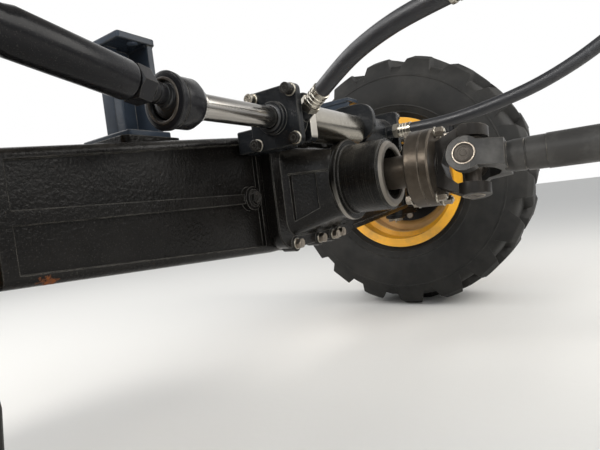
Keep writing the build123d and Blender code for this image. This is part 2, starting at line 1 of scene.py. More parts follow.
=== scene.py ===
import json
from functools import partial
from math import cos, pi, radians, sin, tau

import bmesh
import bpy
from bpy.props import FloatProperty, FloatVectorProperty, PointerProperty
from mathutils import Matrix, Vector


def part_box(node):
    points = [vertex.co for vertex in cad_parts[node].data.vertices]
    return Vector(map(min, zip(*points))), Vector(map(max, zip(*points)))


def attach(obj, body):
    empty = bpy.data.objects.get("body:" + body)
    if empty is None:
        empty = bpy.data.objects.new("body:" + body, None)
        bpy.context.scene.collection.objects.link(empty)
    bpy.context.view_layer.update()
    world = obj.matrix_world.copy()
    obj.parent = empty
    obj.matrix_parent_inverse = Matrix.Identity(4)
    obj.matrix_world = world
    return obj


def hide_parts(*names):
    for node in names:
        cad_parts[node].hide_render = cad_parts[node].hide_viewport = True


bl_info = {
    "name": "Steered Drive Axle",
    "version": (1, 0, 0),
    "blender": (4, 5, 0),
    "location": "View3D > Sidebar > Axle",
    "description": "Finishes and small fittings of a steered drive axle with its wheels",
    "category": "Object",
}

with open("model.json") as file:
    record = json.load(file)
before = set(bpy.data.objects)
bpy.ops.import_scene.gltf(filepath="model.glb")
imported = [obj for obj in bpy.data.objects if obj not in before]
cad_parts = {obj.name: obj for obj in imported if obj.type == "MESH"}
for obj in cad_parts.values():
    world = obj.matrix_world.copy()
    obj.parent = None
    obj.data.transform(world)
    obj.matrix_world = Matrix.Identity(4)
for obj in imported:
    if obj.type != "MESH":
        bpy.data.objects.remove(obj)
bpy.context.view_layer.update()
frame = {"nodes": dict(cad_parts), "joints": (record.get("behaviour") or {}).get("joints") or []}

# Places that the pieces share, in metres, taken from the frame
JOINTS = {joint["name"]: joint for joint in frame["joints"]}
WHEEL_Z = JOINTS["wheel_spin_left"]["pos_m"][2]
WHEEL_Y = JOINTS["wheel_spin_left"]["pos_m"][1]
KINGPIN_Y = JOINTS["steer_left"]["pos_m"][1]
ROD_X = JOINTS["tie_rod_left"]["pos_m"][0]
ROD_Z = JOINTS["tie_rod_left"]["pos_m"][2]
EYE_X, EYE_Y, EYE_HEIGHT = -0.235, 0.715, 0.148
FRONT_JOINT_X = JOINTS["front_joint_yaw"]["pos_m"][0]
REAR_JOINT_X = JOINTS["rear_joint_yaw"]["pos_m"][0]
SIDES = (("left", 1), ("right", -1))

X_AXIS = Vector((1, 0, 0))
Y_AXIS = Vector((0, 1, 0))
Z_AXIS = Vector((0, 0, 1))
# Directions of the two pairs of ears on the rolled propeller line
EAR_ACROSS = Vector(JOINTS["front_joint_pitch"]["axis"])
EAR_UPRIGHT = Vector(JOINTS["front_joint_yaw"]["axis"])

# How deep a fitting is set into what carries it
SUNK = 0.0006
# Edges that turn by more than this stay sharp
SHARP = radians(34)
# Where the carrier's journal ends
JOURNAL_END = -0.312
# Bolts on the carrier's flange: across, and height above the wheel line
LOW_BOLTS = ((0.1125, -0.1185), (0.019, -0.1185), (-0.043, -0.1175), (-0.073, -0.1155))
HIGH_BOLTS = ((0.0495, 0.0895), (0.112, 0.0865), (-0.0495, 0.0895), (-0.112, 0.0865))


def on_line(x, y=0.0, z=0.0):
    """Place that is given by its height above the wheel line."""
    return Vector((x, y, WHEEL_Z + z))


def shade(name, description, default):
    """Property for the base colour of a finish."""
    return FloatVectorProperty(
        name=name, description=description, default=default, subtype="COLOR"
    )


def length(name, description, default, least, most):
    """Property for a length in metres."""
    return FloatProperty(
        name=name, description=description, default=default, min=least, max=most, unit="LENGTH"
    )


def angle(name, description, degrees):
    """Property for an angle, given in degrees."""
    return FloatProperty(
        name=name, description=description, default=radians(degrees), unit="ROTATION"
    )


class FinishColours(bpy.types.PropertyGroup):
    """Base colours of the finishes"""

    casting: shade("Casting", "Gloss black on the cast housings", (0.0055, 0.005, 0.0045))
    # The saddles' blue cast is a painted reflection of the sky on black gloss paint.
    plate: shade("Plate", "Black paint with a blue cast on the saddles", (0.022, 0.029, 0.04))
    # The glands' faint blue cast is a painted reflection of the sky on black gloss paint.
    gland: shade("Gland", "Black paint with a faint blue cast", (0.007, 0.0078, 0.009))
    # The rod's colour is kept darker than bright chrome, as painted shade for the dark parts it
    # mirrors.
    rod: shade("Rod", "Chromed rod", (0.45, 0.43, 0.4))
    barrel: shade("Barrel", "Ground steel of the cylinder barrel", (0.44, 0.41, 0.35))
    forging: shade("Forging", "Bare dark forgings of the propeller line", (0.012, 0.0102, 0.0085))
    rim: shade("Rim", "Yellow paint on the rims", (0.9, 0.43, 0.025))
    disc: shade("Disc", "Dusty paint on the wheel discs", (0.58, 0.33, 0.11))
    tyre: shade("Tyre", "Worn tyre rubber", (0.014, 0.0135, 0.0125))
    zinc: shade("Zinc", "Plating on the hose fittings and bolts", (0.56, 0.52, 0.44))
    shaft: shade("Shaft", "Dull steel of the propeller shaft's tubes", (0.045, 0.043, 0.04))
    hose: shade("Hose", "Rubber cover of the hoses", (0.02, 0.02, 0.022))


class FittingSizes(bpy.types.PropertyGroup):
    """Sizes of the hoses and fasteners"""

    hose: length("Hose radius", "Outer radius of a hose", 0.014, 0.004, 0.03)
    carrier_bolt: length("Carrier bolt", "Across flats of the carrier's bolts", 0.019, 0.01, 0.03)
    gland_bolt: length("Gland bolt", "Across the heads of the gland screws", 0.021, 0.01, 0.03)
    pair_bolt: length("Flange bolt", "Across flats on the propeller flanges", 0.017, 0.01, 0.02)
    wheel_nut: length("Wheel nut", "Across flats of the wheel nuts", 0.03, 0.02, 0.04)
    small_bolt: length("Small bolt", "Across flats of the kingpin screws", 0.013, 0.008, 0.017)


class CameraView(bpy.types.PropertyGroup):
    """Where the picture is taken from"""

    yaw: angle("Yaw", "Turn away from looking straight across the axle", 33.521)
    pitch: angle("Pitch", "Upward tilt", -2.463)
    roll: angle("Roll", "Roll about the line of sight", 6.977)
    lens: FloatProperty(
        name="Lens", description="Focal length in millimetres on a 36 mm sensor",
        default=27.02, min=10, max=200,
    )
    place: FloatVectorProperty(
        name="Place", description="Place of the camera, its height above the wheel line",
        default=(-0.6512, 0.88, -0.0417), subtype="TRANSLATION",
    )


def feed(tree, node, socket, value):
    """Give a socket of a node a value or a link."""
    if isinstance(value, bpy.types.NodeSocket):
        tree.links.new(value, node.inputs[socket])
    else:
        node.inputs[socket].default_value = value


def add_node(tree, kind, inputs=None, **settings):
    """Add a shader node by its type, with its settings and its inputs by name or number."""
    made = tree.nodes.new("ShaderNode" + kind)
    for setting, value in settings.items():
        setattr(made, setting, value)
    for socket, value in (inputs or {}).items():
        feed(tree, made, socket, value)
    return made


class Finish:
    """A material being built up in layers, from the plain surface to its wear and dirt."""

    def __init__(self, name, colour, roughness, metallic=0.0, **sockets):
        self.material = bpy.data.materials.new(name)
        self.material.use_nodes = True
        self.tree = self.material.node_tree
        self.shader = self.tree.nodes["Principled BSDF"]
        self.place = self.node("TexCoord").outputs["Object"]
        self.relief = None
        self.set("Base Color", (*colour, 1))
        self.set("Roughness", roughness)
        self.set("Metallic", metallic)
        for socket, value in sockets.items():
            self.set(socket.replace("_", " "), value)

    def set(self, socket, value):
        """Give a socket of the shader a value or a link."""
        feed(self.tree, self.shader, socket, value)

    def held(self, socket):
        """What a socket of the shader holds now: its link, or else its value."""
        entry = self.shader.inputs[socket]
        return entry.links[0].from_socket if entry.links else entry.default_value

    def node(self, kind, inputs=None, **settings):
        """Add a node to the material."""
        return add_node(self.tree, kind, inputs, **settings)

    def noise(self, scale, detail=4.0, roughness=0.55, stretch=(1, 1, 1)):
        """Cloudy noise from 0 to 1."""
        place = self.node("Mapping", {"Vector": self.place, "Scale": stretch}).outputs["Vector"]
        inputs = {"Vector": place, "Scale": scale, "Detail": detail, "Roughness": roughness}
        return self.node("TexNoise", inputs).outputs["Fac"]

    def span(self, value, low, high, to_low=0.0, to_high=1.0):
        """Value between low and high moved to another span, and held inside it."""
        return self.node("MapRange", {
            "Value": value, "From Min": low, "From Max": high, "To Min": to_low, "To Max": to_high
        }).outputs["Result"]

    def both(self, first, second):
        """Product of two masks."""
        return self.node("Math", {0: first, 1: second}, operation="MULTIPLY").outputs[0]

    def blend(self, amount, first, second):
        """Colour between two colours."""
        ends = [c if isinstance(c, bpy.types.NodeSocket) else (*c[:3], 1) for c in (first, second)]
        return self.node("Mix", {0: amount, 6: ends[0], 7: ends[1]}, data_type="RGBA").outputs[2]

    def patch(self, mask, colour, roughness, metallic=None):
        """Show another surface where the mask is 1."""
        self.set("Base Color", self.blend(mask, self.held("Base Color"), colour))
        for socket, value in (("Roughness", roughness), ("Metallic", metallic)):
            if value is not None:
                ends = {0: mask, 2: self.held(socket), 3: value}
                self.set(socket, self.node("Mix", ends, data_type="FLOAT").outputs[0])

    def bump(self, height, depth):
        """Lay a relief of that depth in metres over what is there."""
        made = self.node("Bump", {"Height": height, "Distance": depth})
        if self.relief:
            feed(self.tree, made, "Normal", self.relief)
        self.relief = made.outputs["Normal"]
        self.set("Normal", self.relief)

    def edges(self, radius):
        """Round the sharp edges in the shading, and return a mask of them."""
        self.relief = self.node("Bevel", {"Radius": radius}, samples=4).outputs["Normal"]
        self.set("Normal", self.relief)
        plain = self.node("NewGeometry").outputs["Normal"]
        alike = self.node("VectorMath", {0: self.relief, 1: plain}, operation="DOT_PRODUCT")
        return self.span(alike.outputs["Value"], 0.985, 0.86)

    def radius(self, centre, axis=None):
        """Distance from a point, or from a line through it along axis 0, 1 or 2."""
        offset = self.node("VectorMath", {0: self.place, 1: centre}, operation="SUBTRACT")
        if axis is not None:
            flat = [1, 1, 1]
            flat[axis] = 0
            ends = {0: offset.outputs[0], 1: flat}
            offset = self.node("VectorMath", ends, operation="MULTIPLY")
        offset = offset.outputs[0]
        return self.node("VectorMath", {0: offset}, operation="LENGTH").outputs["Value"]

    def along(self, axis):
        """Place along axis 0, 1 or 2."""
        return self.node("SeparateXYZ", {0: self.place}).outputs[axis]

    def facing_up(self):
        """How far the surface faces up, from 0 to 1."""
        normal = self.node("NewGeometry").outputs["Normal"]
        return self.span(self.node("SeparateXYZ", {0: normal}).outputs[2], 0.3, 0.95)


def cast_finish(name, colour, grain=190.0, depth=0.0008, shine=0.21, dust=0.3, rounding=0.0022):
    """Thick gloss paint over a sand casting, worn thin and painted lighter on its edges as a
    painted highlight, with painted glints, and dusty on top.
    """
    finish = Finish(name, colour, shine, Specular_IOR_Level=0.15)
    edge = finish.edges(rounding)
    grime = finish.span(finish.noise(9.0, 6.0), 0.45, 0.75)
    painted = finish.blend(grime, colour, [c * 1.8 + 0.0015 for c in colour])
    finish.set("Base Color", painted)
    patchy = finish.span(finish.noise(24.0, 5.0), 0.3, 0.75, shine - 0.12, shine + 0.08)
    finish.set("Roughness", patchy)
    # Edges: worn paint, made lighter still as a painted highlight along every sharp edge.
    worn_and_highlit_edges = finish.both(edge, finish.span(finish.noise(46.0, 5.0), 0.38, 0.62, 0.25, 0.9))
    finish.patch(worn_and_highlit_edges, (0.14, 0.132, 0.115), 0.3)
    # Painted glints: small lighter specks that stand in for highlights on the pebbled paint.
    painted_glints = finish.span(finish.noise(grain * 2.2, 2.0, 0.7), 0.6, 0.72, 0.0, 0.5)
    finish.patch(painted_glints, (0.07, 0.066, 0.057), 0.2)
    above = finish.facing_up()
    dusty = finish.both(above, finish.span(finish.noise(31.0), 0.35, 0.7, 0.15 * dust, dust))
    finish.patch(dusty, (0.16, 0.14, 0.115), 0.7)
    finish.bump(finish.noise(grain, 3.0, 0.6), depth)
    finish.bump(finish.noise(grain / 7, 2.0), depth * 0.8)
    return finish


def beam_finish(name, colour):
    """The castings' paint, with a rust spot at the left end of the beam."""
    finish = cast_finish(name, colour)
    spot = finish.radius((-0.1, 0.601, WHEEL_Z - 0.1))
    ragged = finish.span(finish.noise(120.0, 5.0), 0.35, 0.65, -0.006, 0.006)
    ragged = finish.node("Math", {0: spot, 1: ragged}, operation="ADD").outputs[0]
    finish.patch(finish.span(ragged, 0.013, 0.006), (0.22, 0.07, 0.02), 0.85)
    return finish


def carrier_finish(name, colour):
    """The castings' paint, turned on the journal, bare on its end face, and lighter and metallic on
    the lower half of its lip as a painted highlight.
    """
    finish = cast_finish(name, colour)
    end = JOURNAL_END
    journal = finish.span(finish.along(0), end + 0.089, end + 0.091, 1.0, 0.0)
    turned = finish.noise(620.0, 2.0, 0.5, (1, 0.02, 0.02))
    finish.bump(finish.both(turned, journal), 0.0003)
    streaks = finish.both(journal, finish.span(turned, 0.5, 0.75, 0.0, 0.45))
    finish.patch(streaks, (0.06, 0.055, 0.045), 0.3)
    face = finish.span(finish.along(0), end + 0.0062, end + 0.0056)
    finish.patch(face, (0.19, 0.17, 0.145), 0.42, 0.4)
    # Lower half of the lip: lighter and metallic, a painted highlight along its underside.
    lip = finish.both(
        finish.span(finish.radius(on_line(0), 0), 0.0846, 0.0858),
        finish.both(
            finish.span(finish.along(0), end + 0.1025, end + 0.1025 - 0.001),
            finish.span(finish.along(2), WHEEL_Z, WHEEL_Z - 0.06),
        ),
    )
    finish.patch(lip, (0.26, 0.24, 0.21), 0.3, 0.6)
    return finish


def gland_finish(name, colour):
    """Black paint tinted faintly blue as a painted sky reflection, bare on the machined rear land
    of the near flange.
    """
    finish = cast_finish(name, colour, 220.0, 0.00035, 0.3, 0.35)
    land = finish.span(finish.along(0), ROD_X - 0.0425, ROD_X - 0.0435)
    near = finish.both(
        finish.span(finish.along(1), 0.164, 0.165), finish.span(finish.along(1), 0.188, 0.187)
    )
    finish.patch(finish.both(land, near), (0.5, 0.47, 0.42), 0.35, 0.8)
    return finish


def hose_finish(name, colour):
    """Smooth rubber cover with a faint wrapped weave."""
    finish = Finish(name, colour, 0.38)
    finish.set("Roughness", finish.span(finish.noise(60.0), 0.3, 0.7, 0.3, 0.5))
    scuffs = finish.span(finish.noise(38.0, 6.0, 0.7), 0.6, 0.75, 0.0, 0.5)
    finish.patch(scuffs, (0.09, 0.09, 0.095), 0.55)
    finish.bump(finish.noise(900.0, 2.0), 0.0002)
    return finish


def metal_finish(name, colour, shine, stretch, grain=220.0, stain=(0.2, 0.17, 0.14), stained=0.35):
    """Bare or plated metal with long fine lines and light stains; on the chromed rod the lines are
    painted reflection streaks.
    """
    finish = Finish(name, colour, shine, 1.0)
    finish.edges(0.0006)
    marks_and_streaks = finish.noise(grain, 3.0, 0.6, stretch)
    clouds = finish.span(finish.noise(14.0, 6.0), 0.5, 0.85, 0.0, stained)
    shade = finish.blend(finish.span(marks_and_streaks, 0.3, 0.75), [c * 0.6 for c in colour], colour)
    finish.set("Base Color", finish.blend(clouds, shade, stain))
    finish.set("Roughness", finish.span(marks_and_streaks, 0.3, 0.75, shine + 0.12, shine))
    finish.bump(marks_and_streaks, 0.00008)
    return finish


def forging_finish(name, colour, bare=0.12):
    """Dark forging with a brown bloom, oily patches and rubbed edges."""
    finish = Finish(name, colour, 0.4, bare, Specular_IOR_Level=0.14)
    edge = finish.edges(0.0016)
    bloom = finish.span(finish.noise(18.0, 7.0, 0.62), 0.42, 0.7)
    finish.set("Base Color", finish.blend(bloom, colour, [c * 2.0 for c in colour]))
    finish.set("Roughness", finish.span(finish.noise(26.0, 5.0), 0.3, 0.7, 0.28, 0.55))
    rubbed = finish.both(edge, finish.span(finish.noise(60.0), 0.4, 0.65))
    finish.patch(rubbed, (0.3, 0.265, 0.22), 0.32, 0.8)
    finish.bump(finish.noise(240.0, 4.0, 0.65), 0.0003)
    return finish


def rim_finish(name, colour, disc):
    """Sprayed yellow paint, duller and dustier on the disc inside the well."""
    finish = Finish(name, colour, 0.3, Coat_Weight=0.25, Coat_Roughness=0.15)
    edge = finish.edges(0.0025)
    inside = finish.span(finish.radius((0, 0, WHEEL_Z), 1), 0.203, 0.199)
    finish.patch(inside, disc, 0.5)
    dirt = finish.span(finish.noise(12.0, 7.0, 0.6), 0.5, 0.78, 0.0, 0.7)
    finish.patch(dirt, (0.36, 0.2, 0.06), 0.6)
    chipped = finish.both(edge, finish.span(finish.noise(50.0), 0.45, 0.6))
    finish.patch(chipped, (0.62, 0.4, 0.16), 0.5)
    finish.bump(finish.noise(300.0, 2.0), 0.00012)
    return finish


def tyre_finish(name, colour):
    """Worn tyre rubber, greyed by dust and scuffed on the lugs."""
    finish = Finish(name, colour, 0.6, Specular_IOR_Level=0.22)
    edge = finish.edges(0.004)
    dust = finish.span(finish.noise(11.0, 7.0, 0.65), 0.4, 0.75, 0.0, 0.55)
    finish.set("Base Color", finish.blend(dust, colour, (0.045, 0.042, 0.037)))
    scuffed = finish.both(edge, finish.span(finish.noise(40.0), 0.4, 0.65, 0.0, 0.6))
    finish.patch(scuffed, (0.07, 0.066, 0.06), 0.8)
    finish.bump(finish.noise(420.0, 4.0, 0.7), 0.0005)
    return finish


# CAD nodes by finish; a name that ends in a star stands for both sides
FINISHED_NODES = (
    ("beam", ("axle_housing",)),
    ("carrier", ("differential_carrier",)),
    ("casting", ("front_trunnion", "knuckle_*", "kingpin_upper_*", "kingpin_lower_*", "hub_*")),
    ("gland", ("cylinder_gland_*",)),
    ("plate", ("saddle_*",)),
    ("rod", ("cylinder_rod",)),
    ("barrel", ("cylinder_barrel",)),
    ("tube", ("tie_rod_*", "rod_socket_*")),
    ("forging", ("flange_yoke_front", "flange_yoke_rear", "half_shaft_joint_*")),
    ("flange", ("companion_flange",)),
    ("shaft", ("shaft_front", "slip_sleeve")),
    ("cross", ("cross_front", "cross_rear")),
    ("seal", ("pinion_seal", "ball_stud_*")),
    ("rim", ("rim_*",)),
    ("tyre", ("tyre_*",)),
)


class AXLE_OT_finishes(bpy.types.Operator):
    """Make the finishes and give every CAD piece its own"""

    bl_idname = "axle.finishes"
    bl_label = "Finishes"

    def execute(self, context):
        colours = context.scene.axle_colours
        cast_finish("casting", colours.casting)
        beam_finish("beam", colours.casting)
        carrier_finish("carrier", colours.casting)
        gland_finish("gland", colours.gland)
        # Saddle plates: black paint tinted blue as a painted sky reflection.
        cast_finish("plate", colours.plate, 260.0, 0.0002, 0.2, 0.4)
        cast_finish("tube", (0.008, 0.008, 0.009), 320.0, 0.00012, 0.24, 0.2, 0.0012)
        cast_finish("black_bolt", (0.012, 0.011, 0.01), 500.0, 0.0001, 0.3, 0.2, 0.0007)
        # The rod's lines run along it: painted reflection streaks.
        metal_finish("rod", colours.rod, 0.12, (1, 0.04, 1), 260.0)
        metal_finish("barrel", colours.barrel, 0.16, (0.15, 1, 0.15), 700.0)
        metal_finish("zinc", colours.zinc, 0.25, (1, 1, 1), 420.0)
        metal_finish("worn_bolt", (0.34, 0.3, 0.25), 0.3, (1, 1, 1), 420.0, (0.1, 0.07, 0.045), 0.8)
        forging_finish("forging", colours.forging)
        forging_finish("shaft", colours.shaft)
        forging_finish("flange", (0.06, 0.049, 0.038), 0.7)
        forging_finish("cross", (0.05, 0.043, 0.036), 0.3)
        hose_finish("seal", (0.012, 0.012, 0.012))
        hose_finish("hose", colours.hose)
        rim_finish("rim", colours.rim, colours.disc)
        tyre_finish("tyre", colours.tyre)
        for finish, names in FINISHED_NODES:
            for name in names:
                ends = [side for side, _ in SIDES] if name.endswith("*") else [""]
                for end in ends:
                    node = frame["nodes"][name.rstrip("*") + end]
                    node.data.materials.clear()
                    node.data.materials.append(bpy.data.materials[finish])
        return {"FINISHED"}


def seat(place, axis, turn=0.0):
    """Frame at a place whose Z runs along an axis."""
    stand = Matrix.Translation(place) @ axis.to_track_quat("Z", "Y").to_matrix().to_4x4()
    return stand @ Matrix.Rotation(turn, 4, "Z")


def circle(centre, axis, radius, count, start=0.0):
    """Places evenly round an axis."""
    stand = seat(centre, axis)
    turns = [start + tau * k / count for k in range(count)]
    return [stand @ Vector((radius * cos(a), radius * sin(a), 0)) for a in turns]


def rounded(half, low, high, corner, steps=6):
    """Outline of a rectangle with round corners, from -half to half across and from low to high."""
    points = []
    for quarter, (a, b) in enumerate((
        (half - corner, high - corner), (corner - half, high - corner),
        (corner - half, low + corner), (half - corner, low + corner),
    )):
        for step in range(steps + 1):
            turn = (quarter + step / steps) * pi / 2
            points.append((a + corner * cos(turn), b + corner * sin(turn)))
    return points


def loop(radius, count, height):
    """Points round the axis of a seat at a height above it."""
    turns = [tau * k / count for k in range(count)]
    return [(radius * cos(turn), radius * sin(turn), height) for turn in turns]


class Form:
    """A mesh in the making, of turned and six-sided shapes that each stand on their own seat."""

    def __init__(self):
        self.mesh = bmesh.new()

    def skin(self, rows, stand, ring=False):
        """Join rows of points into a skin that is closed by two ends, or into a ring."""
        rows = [[self.mesh.verts.new(stand @ Vector(point)) for point in row] for row in rows]
        if ring:
            rows.append(rows[0])
        for before, after in zip(rows, rows[1:]):
            for k in range(len(before)):
                self.mesh.faces.new((before[k - 1], before[k], after[k], after[k - 1]))
        if not ring:
            self.mesh.faces.new(reversed(rows[0]))
            self.mesh.faces.new(rows[-1])

    def turned(self, profile, stand, ring=False, count=32):
        """Turn a profile of heights and radii about the axis of its seat."""
        self.skin([loop(radius, count, height) for height, radius in profile], stand, ring)

    def hexagon(self, stand, across, low, high, dish=0.0):
        """Six-sided head or nut with its outer corners turned off."""
        flat = across / 2
        corner = flat / cos(pi / 6)
        drop = (corner - flat) * 0.7
        trim, face, recess = 0.985, 0.72, 0.8
        rows = []
        for at_corner, at_flat, dip in (
            (corner, flat, high - low), (corner, flat, drop), (flat, flat, 0.0),
        ):
            radii = [(at_flat if k % 2 else at_corner) * trim for k in range(12)]
            rows.append([
                (radius * cos(tau * k / 12), radius * sin(tau * k / 12),
                 high - (dip if k % 2 == 0 or dip > drop else dip * 0.1))
                for k, radius in enumerate(radii)
            ])
        rows += [loop(flat * face, 12, high), loop(flat * face * recess, 12, high - dish)]
        self.skin(rows, stand)

    def bead(self, start, end, size):
        """Rippled weld bead along a straight joint."""
        run = end - start
        steps, ripple = int(run.length / 0.002), 1.05
        rows = []
        for step in range(steps + 1):
            girth = size * (0.86 + 0.14 * abs(sin(step * ripple)))
            rows.append(loop(girth, 10, step * run.length / steps))
        self.skin(rows, seat(start, run.normalized()))

    def slab(self, place, first, second, half, low, high, corner, thick, soft=0.0012):
        """Plate with round corners: half width along first, low to high along second."""
        normal = first.cross(second)
        rows = []
        for depth, inset in ((0.0, soft), (soft, 0.0), (thick - soft, 0.0), (thick, soft)):
            edge = rounded(half - inset, low + inset, high - inset, max(corner - inset, 0.0005))
            rows.append([place + first * a + second * b + normal * depth for a, b in edge])
        self.skin(rows, Matrix())

    def object(self, name):
        """Turn the form into an object."""
        bmesh.ops.recalc_face_normals(self.mesh, faces=self.mesh.faces)
        mesh = bpy.data.meshes.new(name)
        self.mesh.to_mesh(mesh)
        self.mesh.free()
        made = bpy.data.objects.new(name, mesh)
        bpy.context.scene.collection.objects.link(made)
        return made

    def cut(self, tool):
        """Cut the shells of another form out of this one, which is a single shell so far."""
        whole, tool = self.object("whole"), tool.object("tool")
        change = whole.modifiers.new("cut", "BOOLEAN")
        change.object = tool
        change.solver = "EXACT"
        bpy.context.view_layer.update()
        shaped = whole.evaluated_get(bpy.context.evaluated_depsgraph_get())
        self.mesh = bmesh.new()
        self.mesh.from_mesh(shaped.data)
        for used in (whole, tool):
            bpy.data.meshes.remove(used.data)

    def finish(self, name, finish, body, slot, *replaced):
        """Make the form a piece with a finish that rides on a body."""
        piece = self.object(name)
        piece.data.shade_smooth()
        piece.data.set_sharp_from_angle(angle=SHARP)
        piece.data.materials.append(bpy.data.materials[finish])
        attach(piece, body)
        if replaced:
            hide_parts(*replaced)
        return piece


def finish_all(body, slot, *pieces):
    """Make pieces of several forms that ride on one body; the slot is not used."""
    for form, name, finish in pieces:
        form.finish(name, finish, body, slot)


def bolt_row(heads, washers, places, axis, across, stud=0.0):
    """Six-sided heads on washers, each turned its own way; with a stud they are nuts."""
    thick = 0.14 * across
    washer = ((-SUNK, 0.64 * across), (0.75 * thick, 0.64 * across), (thick, 0.6 * across))
    for number, place in enumerate(places):
        stand = seat(place, axis, 0.7 * number)
        washers.turned(washer, stand)
        top = thick + (0.82 if stud else 0.6) * across
        heads.hexagon(stand, across, thick - SUNK, top, 0.0 if stud else 0.0006)
        if stud:
            bore, pitch = 0.3 * across, 0.0015
            threads = [(top - 0.002, bore * 0.9)]
            for ridge in range(int(stud / pitch)):
                threads += [(top + pitch * ridge, bore * 0.9), (top + pitch * ridge + 0.0008, bore)]
            washers.turned(threads + [(threads[-1][0] + 0.001, bore * 0.7)], stand)


def cap_screws(heads, places, axis, across, height):
    """Round socket heads with their six-sided recess."""
    for number, place in enumerate(places):
        stand = seat(place, axis, 0.9 * number)
        rim = across / 2
        heads.turned([
            (-SUNK, rim), (height - 0.001, rim), (height, rim - 0.001), (height, rim * 0.62),
            (height - 0.0008, rim * 0.56),
        ], stand, count=24)
        heads.turned([
            (height - 0.0012, rim * 0.5), (height + 0.0002, rim * 0.5),
            (height + 0.0002, rim * 0.44), (height - 0.0012, rim * 0.44),
        ], stand, ring=True, count=6)


def nipple(form, place, axis):
    """Grease nipple: hexagon foot, waist and ball."""
    stand = seat(place, axis)
    form.hexagon(stand, 0.009, -SUNK, 0.005)
    form.turned([
        (0.0045, 0.0032), (0.009, 0.0026), (0.011, 0.0022), (0.0125, 0.0032), (0.0142, 0.0034),
        (0.0158, 0.0024), (0.0162, 0.001),
    ], stand, count=16)


# Points of each hose in order from its port: x, y and height above the wheel line, in metres
HOSE_ROUTES = {
    "near": (
        (-0.28, 0.208, 0.144), (-0.318, 0.22, 0.163), (-0.36, 0.234, 0.18),
        (-0.41, 0.249, 0.192), (-0.462, 0.261, 0.2), (-0.52, 0.271, 0.204),
    ),
    "far": (
        (-0.292, -0.19, 0.11), (-0.345, -0.19, 0.109), (-0.4, -0.19, 0.112),
        (-0.455, -0.19, 0.12), (-0.51, -0.19, 0.131), (-0.565, -0.19, 0.145),
        (-0.618, -0.19, 0.165), (-0.668, -0.19, 0.189), (-0.716, -0.19, 0.218),
    ),
}
# Lengths of the ferrules and nuts on the hoses
FERRULE = 0.028
PORT_NUT = 0.012
END_NUT = 0.018


def hose_curve(name, points, radius):
    """Round tube along a smooth curve with those control points."""
    curve = bpy.data.curves.new(name, "CURVE")
    curve.dimensions = "3D"
    curve.bevel_depth = radius
    curve.bevel_resolution = 8
    curve.resolution_u = 16
    spline = curve.splines.new("NURBS")
    spline.points.add(len(points) - 1)
    for control, point in zip(spline.points, points):
        control.co = (*point, 1)
    spline.order_u = 3
    spline.use_endpoint_u = True
    tube = bpy.data.objects.new(name, curve)
    bpy.context.scene.collection.objects.link(tube)
    return tube


def hose_fitting(name, place, outward, nut, radius, node):
    """Crimped ferrule over a hose's end, and the hexagon nut behind it."""
    form = Form()
    stand = seat(place, outward)
    sleeve = radius + 0.002
    profile = [(-0.0035, radius + 0.0004), (-0.003, sleeve), (0.002, sleeve)]
    crimps = max(2, round((FERRULE - 0.008) / 0.006))
    pitch = (FERRULE - 0.007) / crimps
    for crimp in range(crimps):
        start = 0.003 + crimp * pitch
        profile += [
            (start, sleeve - 0.0012), (start + pitch * 0.55, sleeve - 0.0012),
            (start + pitch * 0.7, sleeve), (start + pitch * 0.92, sleeve),
        ]
    neck = sleeve - 0.003
    profile += [(FERRULE - 0.002, sleeve), (FERRULE - 0.001, neck), (FERRULE + 0.001, neck)]
    form.turned(profile, stand)
    form.hexagon(stand, 2 * sleeve + 0.0002, FERRULE, FERRULE + nut, 0.0008)
    return form.finish(name, "zinc", "axle", "zinc_fitting", node)


class AXLE_OT_hoses(bpy.types.Operator):
    """Lay the two steering hoses from their ports, with their fittings"""

    bl_idname = "axle.hoses"
    bl_label = "Hoses"

    def execute(self, context):
        radius = context.scene.axle_fittings.hose
        for name, route in HOSE_ROUTES.items():
            points = [on_line(*point) for point in route]
            hose = hose_curve(f"steering_hose_{name}", points, radius)
            hose.data.materials.append(bpy.data.materials["hose"])
            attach(hose, "axle")
            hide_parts(f"hose_{name}")
            fittings = [
                hose_fitting(f"hose_{kind}_{name}", end, (end - before).normalized(), nut,
                             radius, f"hose_{node}_{name}")
                for kind, end, before, nut, node in (
                    ("coupling", points[0], points[1], PORT_NUT, "port"),
                    ("tail", points[-1], points[-2], END_NUT, "end"),
                )
            ]
        return {"FINISHED"}


# Body of the carrier from its flange to its nose: place, half width, lowest, highest, corner
CARRIER_ROWS = (
    (-0.124, 0.139, -0.107, 0.087, 0.038), (-0.1285, 0.1365, -0.1045, 0.0845, 0.037),
    (-0.131, 0.133, -0.101, 0.081, 0.035), (-0.136, 0.1295, -0.0985, 0.0785, 0.035),
    (-0.196, 0.0895, -0.0768, 0.0685, 0.05), (-0.205, 0.084, -0.075, 0.067, 0.054),
    (-0.2085, 0.08, -0.071, 0.063, 0.054),
)
# Ridge over each pocket: its section as way out and height, its run as place and width
RIDGE_SECTION = ((-0.004, 0.0205), (0.0016, 0.0215), (0.0016, 0.0235), (-0.004, 0.0255))
RIDGE_RUN = ((-0.138, 0.1282), (-0.196, 0.0896), (-0.206, 0.0838))
# Lip and journal: distance behind the middle, radius
JOURNAL_PROFILE = (
    (0.196, 0.05), (0.196, 0.082), (0.2105, 0.084), (0.2125, 0.086), (0.2195, 0.086),
    (0.221, 0.0845), (0.221, 0.0745), (0.2225, 0.0728), (0.3025, 0.0728), (0.3035, 0.0718),
    (0.3035, 0.0688), (0.306, 0.0678), (0.312, 0.063), (0.312, 0.054), (0.31, 0.052),
    (0.282, 0.052), (0.282, 0.05),
)


